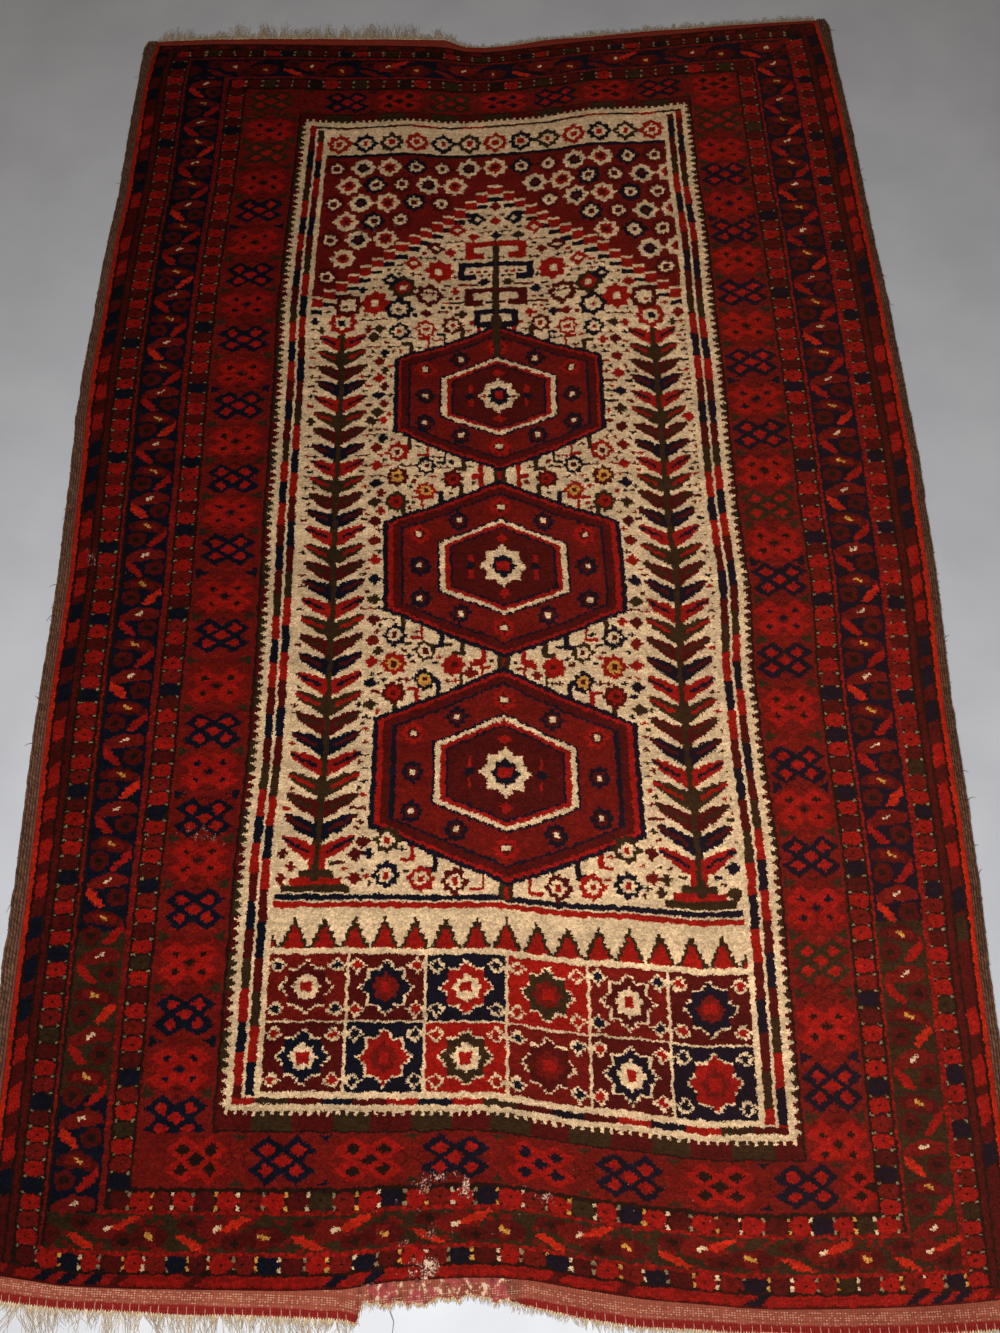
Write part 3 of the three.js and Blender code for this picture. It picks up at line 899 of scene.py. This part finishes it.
each_knot = add("TexWhiteNoise", {"Vector": knot_number}, noise_dimensions="3D")
row_number = add("SeparateXYZ", {0: knot_number}).outputs["Y"]
each_row = add("TexWhiteNoise", {"W": row_number}, noise_dimensions="1D")
dye_place = add("Mapping", {"Vector": place, "Scale": (1.6, 26, 1)})
dye = add("TexNoise", {"Vector": dye_place, "Scale": 1.0, "Detail": 4.0, "Roughness": 0.7})
cloud = add("TexNoise", {"Vector": place, "Scale": 48.0, "Detail": 3.0})
shade = add("Math MULTIPLY_ADD", each_knot, 0.5, 0.75)
shade = add("Math MULTIPLY", shade, add("Math MULTIPLY_ADD", each_row, 0.2, 0.9))
shade = add("Math MULTIPLY", shade, add("Math MULTIPLY_ADD", dye, 0.9, 0.55))
shade = add("Math MULTIPLY", shade, add("Math MULTIPLY_ADD", cloud, 0.7, 0.65))
shade = add("Math MULTIPLY", shade, add("Math MULTIPLY_ADD", fuzz, 1.4, 0.3))
# Painted sheen: the pile is painted lighter from its left side to its right, where the lean of the tufts
# catches the light, and a pinkish grey painted sheen lifts the dark yarns on the right. The near end is
# darker.
rug_place = add("SeparateXYZ", {0: place})
east, north = rug_place.outputs["X"], rug_place.outputs["Y"]
painted_sheen_gain = add("MapRange", {"Value": east, "From Min": -0.46, "From Max": 0.3, "To Min": 0.64, "To Max": 1.08})
near_end_darker = add("MapRange", {"Value": north, "From Min": -0.8, "From Max": -0.5, "To Min": 0.8, "To Max": 1.0})
shade = add("Math MULTIPLY", shade, add("Math MULTIPLY", painted_sheen_gain, near_end_darker))
yarn_tone_and_sheen = add("VectorMath SCALE", {0: palette, "Scale": shade})
# A pinkish grey painted sheen over the right side
painted_sheen_haze = add("MapRange", {"Value": east, "From Min": -0.2, "From Max": 0.4, "To Min": 0.0, "To Max": 0.05})
yarn_tone_and_sheen = add("Mix", {"Factor": painted_sheen_haze, "A": yarn_tone_and_sheen, "B": linear("#8A4E3C")}, data_type="RGBA")

BARE_ABOVE = 1.26
streak_place = add("Mapping", {"Vector": place, "Scale": (460, 90, 1)})
streaks = add("TexNoise", {"Vector": streak_place, "Scale": 1.0, "Detail": 3.0, "Roughness": 0.6})
patches = add("TexNoise", {"Vector": place, "Scale": 110.0, "Detail": 4.0, "Roughness": 0.65})
bare_level = add("Math MULTIPLY_ADD", patches, 1.2, add("Math MULTIPLY", streaks, 0.6))
wear = add("Attribute", attribute_name="wear").outputs["Fac"]
bare = add("Math SUBTRACT", add("Math MULTIPLY_ADD", wear, 0.6, bare_level), BARE_ABOVE)
bare = add("MapRange", {"Value": bare, "From Min": 0.0, "From Max": 0.08})
shred = add("Math MULTIPLY_ADD", fuzz, 1.3, add("Math MULTIPLY", drift, 0.7))
shred = add("Math MULTIPLY_ADD", wear, 0.35, add("Math SUBTRACT", shred, 0.72))
warp_colour = add("ValToRGB", {"Fac": shred})
stops(warp_colour, ((0.42, "#2E1A14"), (0.53, "#7C3F38"), (0.64, "#AE8470"), (0.8, "#D8C0A2")))
final = add("Mix", {"Factor": bare, "A": yarn_tone_and_sheen, "B": warp_colour}, data_type="RGBA")

# Each knot is a small tuft, rounded between its neighbours
middle = add("VectorMath SUBTRACT", in_knot, (0.5, 0.5, 0.0))
tuft = add("Math SUBTRACT", 0.5, add("VectorMath LENGTH", middle))
height = add("Math MULTIPLY_ADD", each_knot, 0.5, tuft)
height = add("Math MULTIPLY_ADD", fuzz, 1.2, height)
bump = add("Bump", {"Height": height, "Distance": 0.0012, "Strength": 0.8})
surface = add(
    "BsdfPrincipled", {"Base Color": final, "Roughness": 0.95, "Specular IOR Level": 0.06, "Normal": bump}
)
add("OutputMaterial", {"Surface": surface})
pile.data.materials.append(wool)
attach(pile, "root")
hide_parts("pile_body")


# The flat-woven ends: the same warps, covered by madder wool weft beaten in hard, so that each pair of
# warps shows as a rib. The last centimetre of each is woven in a deeper red. A stretch of the near one is
# torn away.
WEB_THICK = 2.5
RIB_WIDE = 2.4
RIB_HIGH = 0.5
WEB_ROWS = 14
TORN_FROM, TORN_TO = -116.0, 32.0


def flat_woven(node, outwards):
    """One end as a ribbed cloth. Its map is in mm: x across the rug, and how far in from its outer edge."""
    sides = sides_of(node)
    inner, outer = (sides["far"], sides["near"]) if outwards < 0 else (sides["near"], sides["far"])
    middle_y = inner[:, 1].mean()
    left, right = side_at(sides, "left", middle_y), side_at(sides, "right", middle_y)
    columns = 2 * int((right - left) / RIB_WIDE)
    x, share = np.meshgrid(np.linspace(left, right, columns + 1), np.linspace(0, 1, WEB_ROWS + 1))
    inner_y, outer_y = np.interp(x, *inner.T), np.interp(x, *outer.T)
    whole = outer[(outer[:, 0] < TORN_FROM) | (outer[:, 0] > TORN_TO)] if outwards < 0 else outer
    whole_y = np.interp(x, *whole.T)
    torn = np.clip(np.abs(whole_y - outer_y) / 6, 0, 1)
    ragged = torn * (2.4 * waves(x, x * 0, 21, 31) + 1.5 * waves(x, x * 0, 6, 32))
    outer_y = outer_y + outwards * (ragged + 0.4 * waves(x, x * 0, 9, 33))
    y = inner_y + share * (outer_y - inner_y)
    ribs = np.where(np.arange(columns + 1) % 2, RIB_HIGH, -RIB_HIGH) / 2 * np.clip((1 - share) * 6, 0, 1)
    top = WEB_THICK + ribs + 0.3 * waves(x, y, 90, 34) - 1.1 * share**8 - 0.5 * torn * share
    if outwards < 0:
        x, y, top, whole_y, share = (part[::-1] for part in (x, y, top, whole_y, share))
    piece = slab(node.replace("flatwoven_end", "flat_woven"), x, y, top, x, (whole_y - y) * outwards)
    give(piece.data, "torn", np.tile((torn[::-1] if outwards < 0 else torn).ravel(), 2))
    return piece, np.stack((x[0 if outwards < 0 else -1], y[0 if outwards < 0 else -1]), -1)


# Weft-faced wool: pinkish madder weft over ribs, with undyed warp showing in specks, matt and dry
web, add = finish_for("weft-faced flat weave")
web_map = add("UVMap", uv_map="chart")
web_place = add("SeparateXYZ", {0: web_map})
rib = add("Math DIVIDE", web_place.outputs["X"], RIB_WIDE)
WEFT_HIGH = 0.9
rib_round = add("Math PINGPONG", rib, 0.5)
pick = add("Math ADD", add("Math DIVIDE", web_place.outputs["Y"], WEFT_HIGH), rib_round)
crossing = add("CombineXYZ", {"X": add("Math FLOOR", rib), "Y": add("Math FLOOR", pick)})
each_crossing = add("TexWhiteNoise", {"Vector": crossing}, noise_dimensions="2D")
each_pick = add("TexWhiteNoise", {"W": add("Math FLOOR", pick)}, noise_dimensions="1D")
web_object = add("TexCoord").outputs["Object"]
web_fade = add("TexNoise", {"Vector": web_object, "Scale": 24.0, "Detail": 4.0})
pink = add("Mix", {"Factor": web_fade, "A": linear("#742D20"), "B": linear("#9C5841")}, data_type="RGBA")
# The far end has kept more of its red
at_far_end = add("Math GREATER_THAN", add("SeparateXYZ", {0: web_object}).outputs["Y"], 0.0)
deeper = add("Math MULTIPLY", at_far_end, 0.75)
pink = add("Mix", {"Factor": deeper, "A": pink, "B": linear("#791E0F")}, data_type="RGBA")
STRIPE_WIDE = 7.5
stripe_edge = add("Math MULTIPLY_ADD", web_fade, 2.5, web_place.outputs["Y"])
in_stripe = {"Value": stripe_edge, "From Min": STRIPE_WIDE + 2.2, "From Max": STRIPE_WIDE + 0.6}
in_stripe = add("MapRange", in_stripe)
stripe_share = add("Math MULTIPLY", in_stripe, add("Math MULTIPLY_ADD", at_far_end, -0.7, 1.0))
striped = add("Mix", {"Factor": stripe_share, "A": pink, "B": linear("#741A15")}, data_type="RGBA")
shade = add("Math MULTIPLY_ADD", each_crossing, 0.35, add("Math MULTIPLY_ADD", each_pick, 0.3, 0.5))
# Painted shade: each rib is lighter on its crest and darker in the grooves beside it
shade = add("Math MULTIPLY_ADD", rib_round, 0.7, shade)
web_colour = add("VectorMath SCALE", {0: striped, "Scale": shade})
# Undyed warp shows as a pale dot on a rib here and there, and all along some of the picks
off_rib = add("Math ABSOLUTE", add("Math SUBTRACT", add("Math FRACT", rib), 0.5))
off_pick = add("Math ABSOLUTE", add("Math SUBTRACT", add("Math FRACT", pick), 0.5))
on_crest = add("Math LESS_THAN", add("Math MULTIPLY_ADD", off_rib, 1.6, off_pick), 0.62)
speck_chance = add("Math MULTIPLY_ADD", each_pick, 0.75, add("Math MULTIPLY", each_crossing, 0.5))
specks = add("MapRange", {"Value": speck_chance, "From Min": 0.84, "From Max": 0.96})
out_of_stripe = add("Math SUBTRACT", 1.0, add("Math MAXIMUM", in_stripe, at_far_end))
specks = add("Math MULTIPLY", specks, on_crest)
specks = add("Math MULTIPLY", specks, add("Math MULTIPLY", out_of_stripe, 0.6))
torn = add("Attribute", attribute_name="torn").outputs["Fac"]
shred_place = add("Mapping", {"Vector": web_object, "Scale": (150, 110, 1)})
shreds = add("TexNoise", {"Vector": shred_place, "Scale": 1.0, "Detail": 4.0, "Roughness": 0.65})
torn_shreds = add("Math MULTIPLY", torn, shreds)
bare_warp = add("MapRange", {"Value": torn_shreds, "From Min": 0.56, "From Max": 0.63})
scraps = add("TexNoise", {"Vector": web_object, "Scale": 60.0, "Detail": 3.0})
in_scrap = add("MapRange", {"Value": add("Math MULTIPLY", torn, scraps), "From Min": 0.5, "From Max": 0.55})
soil = add("MapRange", {"Value": torn_shreds, "From Min": 0.3, "From Max": 0.48})
soil = add("Math MAXIMUM", add("Math SUBTRACT", torn, soil), 0.0)
undyed = add("Math MAXIMUM", specks, bare_warp)
for share, colour in ((in_scrap, "#96403E"), (soil, "#4A2A24"), (undyed, "#CDB092")):
    web_colour = add("Mix", {"Factor": share, "A": web_colour, "B": linear(colour)}, data_type="RGBA")
web_height = add("Math MULTIPLY", rib_round, 1.2)
web_height = add("Math MULTIPLY_ADD", add("Math PINGPONG", pick, 0.5), 0.9, web_height)
web_bump = add("Bump", {"Height": web_height, "Distance": 0.0006, "Strength": 0.9})
web_surface = add(
    "BsdfPrincipled",
    {"Base Color": web_colour, "Roughness": 0.92, "Specular IOR Level": 0.1, "Normal": web_bump},
)
add("OutputMaterial", {"Surface": web_surface})

web_near, web_near_edge = flat_woven("flatwoven_end_near", -1)
web_far, web_far_edge = flat_woven("flatwoven_end_far", 1)
for piece, node in ((web_near, "flatwoven_end_near"), (web_far, "flatwoven_end_far")):
    piece.data.materials.append(web)
    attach(piece, "root")
    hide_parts(node)


# The fringes: the cut ends of the warps past the flat-woven ends. Each warp ends in a short thick yarn that
# has frayed into a tuft of hairs, and the tufts cling together in locks.
def threads(name, paths, radius, sides=4):
    """Closed thin tubes as one mesh. The paths are threads by points by x, y and z, in mm."""
    count, steps = paths.shape[:2]
    along = np.gradient(paths, axis=1)
    along /= np.linalg.norm(along, axis=2, keepdims=True)
    sideways = np.cross(along, (0, 0, 1.0)) + np.array((1e-6, 0, 0))
    sideways /= np.linalg.norm(sideways, axis=2, keepdims=True)
    upwards = np.cross(sideways, along)
    turns = np.arange(sides) * 2 * math.pi / sides
    ring = np.cos(turns)[:, None] * sideways[:, :, None] + np.sin(turns)[:, None] * upwards[:, :, None]
    places = paths[:, :, None] + ring * radius[:, :, None, None]
    first = (np.arange(count) * steps * sides)[:, None, None]
    here = first + np.arange(steps - 1)[:, None] * sides + np.arange(sides)
    beside = first + np.arange(steps - 1)[:, None] * sides + np.roll(np.arange(sides), -1)
    walls = np.stack((here, here + sides, beside + sides, beside), -1).reshape(-1, 4)
    start = first[:, 0] + np.arange(sides)
    mesh = bpy.data.meshes.new(name)
    ends = [*start.tolist(), *(start[:, ::-1] + (steps - 1) * sides).tolist()]
    mesh.from_pydata(places.reshape(-1, 3) * MM, [], [*walls.tolist(), *ends])
    mesh.shade_smooth()
    give(mesh, "along", np.repeat(np.tile(np.linspace(0, 1, steps), count), sides))
    give(mesh, "own", np.repeat(np.random.default_rng(len(name)).random(count), steps * sides))
    return place_object(name, mesh)


# How far the warps reach past the edge along each end, in mm
FAR_REACH = {
    -480: 15, -440: 27, -405: 13, -372: 26, -290: 27.5, -170: 28, -90: 25, -40: 13, 30: 8, 180: 10, 480: 10
}
NEAR_REACH = {
    -480: 8, -440: 14, -420: 27, -385: 26, -379: 9, -368: 9, -360: 27, -300: 28, -225: 20, -150: 24, -118: 5,
    -60: 3, 30: 5, 110: 9, 480: 8,
}
THREAD_STEPS = 8


def fringe(name, edge, reach, outwards, hairs, sides, lock_wide, clinging, seed):
    """A short thick yarn for each rib, and frayed hairs that drop to the floor and cling together."""
    chance = np.random.default_rng(seed)
    roots = np.arange(edge[0, 0] + 1.5, edge[-1, 0] - 1.5, RIB_WIDE)
    x = np.repeat(roots, 1 + hairs)
    count = len(x)
    yarn = np.tile(np.arange(1 + hairs) == 0, len(roots))
    x = x + np.where(yarn, 0, chance.uniform(-1.3, 1.3, count))
    cuts = edge[0, 0] + np.append(-lock_wide, np.cumsum(chance.uniform(0.3, 2.0, 400) * lock_wide))
    lock = np.searchsorted(cuts, x)
    centre = (cuts[lock] + cuts[lock - 1]) / 2
    own = chance.normal(0, 1, (401, 3))[lock]
    full = np.interp(x, list(reach), list(reach.values()))
    long = full * np.clip(0.9 + 0.3 * own[:, 0], 0.3, 1.25) * chance.beta(1.7, 1.2, count) * 1.15 + 0.5
    long = np.where(yarn, np.minimum(0.22 * full + 1.8, 6) * chance.uniform(0.6, 1.2, count), long)
    share = np.linspace(0, 1, THREAD_STEPS)
    pinch = np.clip(clinging * (1 + 0.6 * own[:, 1]), 0, 0.9)
    astray = chance.normal(0, 0.14, count) * long
    lean = ((centre - x) * pinch + astray + 5 * own[:, 2] * np.clip(long / 22, 0, 1))[:, None] * share**1.4
    lean = lean * np.clip(long / 16, 0.15, 1)[:, None]
    sway = chance.normal(0, 0.1, (count, 1)) * long[:, None]
    curl = sway * np.sin(share * math.pi * chance.uniform(0.8, 2.8, (count, 1)))
    path_x = x[:, None] + lean + curl
    starts = np.interp(x, *edge.T) - outwards * 1.6
    path_y = starts[:, None] + outwards * (long[:, None] + 1.6) * share
    drop = np.clip((long[:, None] * share) / 5.0, 0, 1)
    thick = np.where(yarn, 0.7, chance.uniform(0.13, 0.24, count))
    rest = thick + chance.uniform(0.05, 1.6, count) * ~yarn
    path_z = np.maximum((1 - drop) * 1.5 + drop * rest[:, None], thick[:, None] + 0.05)
    radius = thick[:, None] * np.where(yarn[:, None], 1 - 0.75 * share**1.5, 1 - 0.45 * share)
    return threads(name, np.stack((path_x, path_y, path_z), -1), radius, sides)


# Undyed plied wool: ivory where it leaves the cloth, browner further out, and bleached at some frayed tips
warp_wool, add = finish_for("undyed plied wool")
own = add("Attribute", attribute_name="own").outputs["Fac"]
along = add("Attribute", attribute_name="along").outputs["Fac"]
warp_place = add("TexCoord").outputs["Object"]
fleck = add("TexNoise", {"Vector": warp_place, "Scale": 700.0, "Detail": 2.0})
tone = add("ValToRGB", {"Fac": add("Math MULTIPLY_ADD", along, 0.45, add("Math MULTIPLY", own, 0.55))})
stops(tone, ((0.0, "#EBD8B2"), (0.3, "#CBB085"), (0.62, "#A08560"), (1.0, "#FFFFFF")))
fibre = add("VectorMath SCALE", {0: tone, "Scale": add("Math MULTIPLY_ADD", fleck, 0.5, 0.72)})
ply = add("Bump", {"Height": fleck, "Distance": 0.0003, "Strength": 0.6})
warp_surface = add(
    "BsdfPrincipled", {"Base Color": fibre, "Roughness": 0.8, "Specular IOR Level": 0.25, "Normal": ply}
)
add("OutputMaterial", {"Surface": warp_surface})

fringe_near = fringe("near_fringe", web_near_edge, NEAR_REACH, -1, 5, 4, 12, 0.5, 11)
fringe_far = fringe("far_fringe", web_far_edge, FAR_REACH, 1, 10, 3, 6, 0.18, 12)
for piece, node in ((fringe_near, "fringe_near"), (fringe_far, "fringe_far")):
    piece.data.materials.append(warp_wool)
    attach(piece, "root")
    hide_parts(node)


# The overcast stitches: a thin light thread sewn over the near end's outer edge, about every 8 mm
STITCH_PITCH = 8.4
STITCH_REACH = 7.0
chance = np.random.default_rng(21)
stitch_x = np.arange(-452, 458, STITCH_PITCH)
stitch_x = stitch_x + chance.uniform(-1.2, 1.2, len(stitch_x))
stitch_x = stitch_x[(stitch_x < TORN_FROM - 4) | (stitch_x > TORN_TO + 4)]
edge_y = np.interp(stitch_x, *web_near_edge.T)
reach = STITCH_REACH * chance.uniform(0.75, 1.15, len(stitch_x))
slant = chance.uniform(-0.7, 0.4, len(stitch_x))
# One stitch from its lower end under the edge, round it and over the top: shares of its reach, and heights
# in mm
STITCH_THICK = 0.27
STITCH_SHAPE = np.array(
    [(0.5, 0.35), (0.0, 0.3), (-0.1, 1.2), (0.05, 2.3), (0.45, 3.05), (0.8, 3.2), (1.0, 2.7)]
)
stitch_paths = np.stack(
    (
        stitch_x[:, None] + slant[:, None] * STITCH_SHAPE[:, 0],
        edge_y[:, None] + reach[:, None] * STITCH_SHAPE[:, 0],
        np.tile(STITCH_SHAPE[:, 1], (len(stitch_x), 1)),
    ),
    -1,
)
stitches = threads("overcast_stitches", stitch_paths, np.full(stitch_paths.shape[:2], STITCH_THICK))
# Sewing thread: pinkish wool, unevenly dyed
thread, add = finish_for("fine sewing wool")
thread_place = add("TexCoord").outputs["Object"]
thread_fleck = add("TexNoise", {"Vector": thread_place, "Scale": 320.0, "Detail": 3.0})
thread_colours = {"Factor": thread_fleck, "A": linear("#B87662"), "B": linear("#E0B294")}
thread_tone = add("Mix", thread_colours, data_type="RGBA")
thread_surface = add("BsdfPrincipled", {"Base Color": thread_tone, "Roughness": 0.8})
add("OutputMaterial", {"Surface": thread_surface})
stitches.data.materials.append(thread)
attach(stitches, "root")


# The selvedges: the outer warps in bundles, each wrapped in coarse goat hair, side by side along both
# edges. There are five cords at the left and four at the right.
CORD_STEP = 2.0
CORD_TALL = 5.2
CORD_GROOVE = 2.4
CORD_POINTS = 6


def selvedge(node, cords, seed):
    sides = sides_of(node)
    ends = min(sides["left"][0, 1], sides["right"][0, 1]), max(sides["left"][-1, 1], sides["right"][-1, 1])
    y = np.arange(ends[0], ends[1], CORD_STEP)
    low, high = side_at(sides, "left", y), side_at(sides, "right", y)
    outer, inner = (low, high) if high.mean() < 0 else (high, low)
    outwards = np.sign(outer.mean())
    to_end = np.clip((ends[1] - y) / 16, 0, 1)
    outer = inner + (outer - inner) * (0.45 + 0.55 * np.sqrt(to_end))
    outer = outer + 0.5 * waves(y, y * 0, 26, seed) + 0.25 * waves(y, y * 0, 7, seed + 1)
    steps = cords * CORD_POINTS
    share, y_grid = np.meshgrid(np.arange(steps + 1) / steps, y)
    start, stop = (outer, inner) if outwards < 0 else (inner, outer)
    x = start[:, None] + share * (stop - start)[:, None]
    x = x + 0.25 * waves(y_grid, x, 40, seed + 2)
    in_cord = (share * cords) % 1
    round_top = np.sqrt(np.clip(1 - (2 * in_cord - 1) ** 2, 0, 1))
    top = CORD_GROOVE + (CORD_TALL - CORD_GROOVE) * round_top
    top = top + 0.22 * waves(x * 3, y_grid, 17, seed + 3) + 0.14 * waves(x * 5, y_grid, 6, seed + 4)
    piece = slab(node.replace("selvedge", "corded_edge"), x, y_grid, top, share * cords, y_grid)
    return piece, np.stack((outer, y), -1)


# Coarse goat hair: dark brown and grey hairs laid slantwise round each cord, dry, with stiff ends that
# stand out
hair, add = finish_for("wrapped goat hair")
hair_map = add("UVMap", uv_map="chart")
hair_place = add("SeparateXYZ", {0: hair_map})
WRAP_PITCH = 1.9
WRAP_SLANT = 3.2
in_cord = add("Math FRACT", hair_place.outputs["X"])
cord = add("Math FLOOR", hair_place.outputs["X"])
turn = add("Math MULTIPLY_ADD", cord, 0.37, add("Math DIVIDE", hair_place.outputs["Y"], WRAP_PITCH))
turn = add("Math MULTIPLY_ADD", in_cord, WRAP_SLANT / WRAP_PITCH, turn)
wrap_seed = add("CombineXYZ", {"X": add("Math FLOOR", turn), "Y": cord})
each_wrap = add("TexWhiteNoise", {"Vector": wrap_seed}, noise_dimensions="2D")
hair_spot = add("CombineXYZ", add("Math MULTIPLY", in_cord, 2.0), add("Math MULTIPLY", turn, 3.4), cord)
strands = add("TexNoise", {"Vector": hair_spot, "Scale": 1.0, "Detail": 3.0, "Roughness": 0.7})
hair_object = add("TexCoord").outputs["Object"]
lengths = add("TexNoise", {"Vector": hair_object, "Scale": 9.0, "Detail": 3.0})
hair_mix = add("Math MULTIPLY_ADD", each_wrap, 0.3, add("Math MULTIPLY", lengths, 0.3))
hair_mix = add("Math MULTIPLY_ADD", strands, 0.55, hair_mix)
hair_tone = add("ValToRGB", {"Fac": hair_mix})
stops(hair_tone, ((0.3, "#2A180E"), (0.52, "#50301D"), (0.72, "#704B33"), (0.9, "#946E52")))
wrap_round = add("Math PINGPONG", turn, 0.5)
hair_height = add("Math MULTIPLY_ADD", strands, 0.8, wrap_round)
hair_bump = add("Bump", {"Height": hair_height, "Distance": 0.0008, "Strength": 0.9})
# Painted shade: the hair is darker at each cord's sides, in the groove between two cords
groove_painted_shade = add("Math PINGPONG", in_cord, 0.5)
groove_painted_shade = add("MapRange", {"Value": groove_painted_shade, "From Min": 0.0, "From Max": 0.2, "To Min": 0.45, "To Max": 1.0})
# The fifth cord, next to the pile, is wrapped in a redder wool
RED_FROM = 3.9
red_cord = add("Math MULTIPLY", add("Math GREATER_THAN", hair_place.outputs["X"], RED_FROM), 0.6)
hair_colour = add("Mix", {"Factor": red_cord, "A": hair_tone, "B": linear("#6A2C24")}, data_type="RGBA")
hair_colour = add("VectorMath SCALE", {0: hair_colour, "Scale": groove_painted_shade})
hair_surface = add(
    "BsdfPrincipled",
    {"Base Color": hair_colour, "Roughness": 0.72, "Specular IOR Level": 0.35, "Normal": hair_bump},
)
add("OutputMaterial", {"Surface": hair_surface})

HAIRS_A_SIDE = 150
stray_paths = []
for node, cords, seed in (("selvedge_left", 5, 41), ("selvedge_right", 4, 51)):
    piece, outline = selvedge(node, cords, seed)
    piece.data.materials.append(hair)
    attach(piece, "root")
    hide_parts(node)
    side = np.sign(outline[:, 0].mean())
    chance = np.random.default_rng(seed)
    for _ in range(HAIRS_A_SIDE):
        x, y = outline[chance.integers(4, len(outline) - 4)]
        long = chance.uniform(1.5, 4.5) if chance.random() < 0.93 else chance.uniform(6, 11)
        turn = chance.uniform(-1.2, 1.2)
        share = np.linspace(0, 1, 5)
        stray_paths.append(
            np.stack(
                (
                    x + side * (long * share * math.cos(turn) - 0.8),
                    y + long * share * math.sin(turn) + long * 0.1 * np.sin(share * 3),
                    2.8 - 1.9 * share**1.5 + 0 * share,
                ),
                -1,
            )
        )
# A loose dark yarn hangs out of the torn place
stray_paths.append(
    np.array([(-87, -804, 2.4), (-83.5, -812, 0.9), (-84.5, -821, 0.5), (-81.5, -829, 0.5), (-84, -837, 0.5)])
)
stray_paths = np.array(stray_paths)
stray_radius = np.tile(np.array([0.3, 0.28, 0.24, 0.18, 0.1]), (len(stray_paths), 1))
strays = threads("stray_hairs", stray_paths, stray_radius)
strays.data.materials.append(hair)
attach(strays, "root")
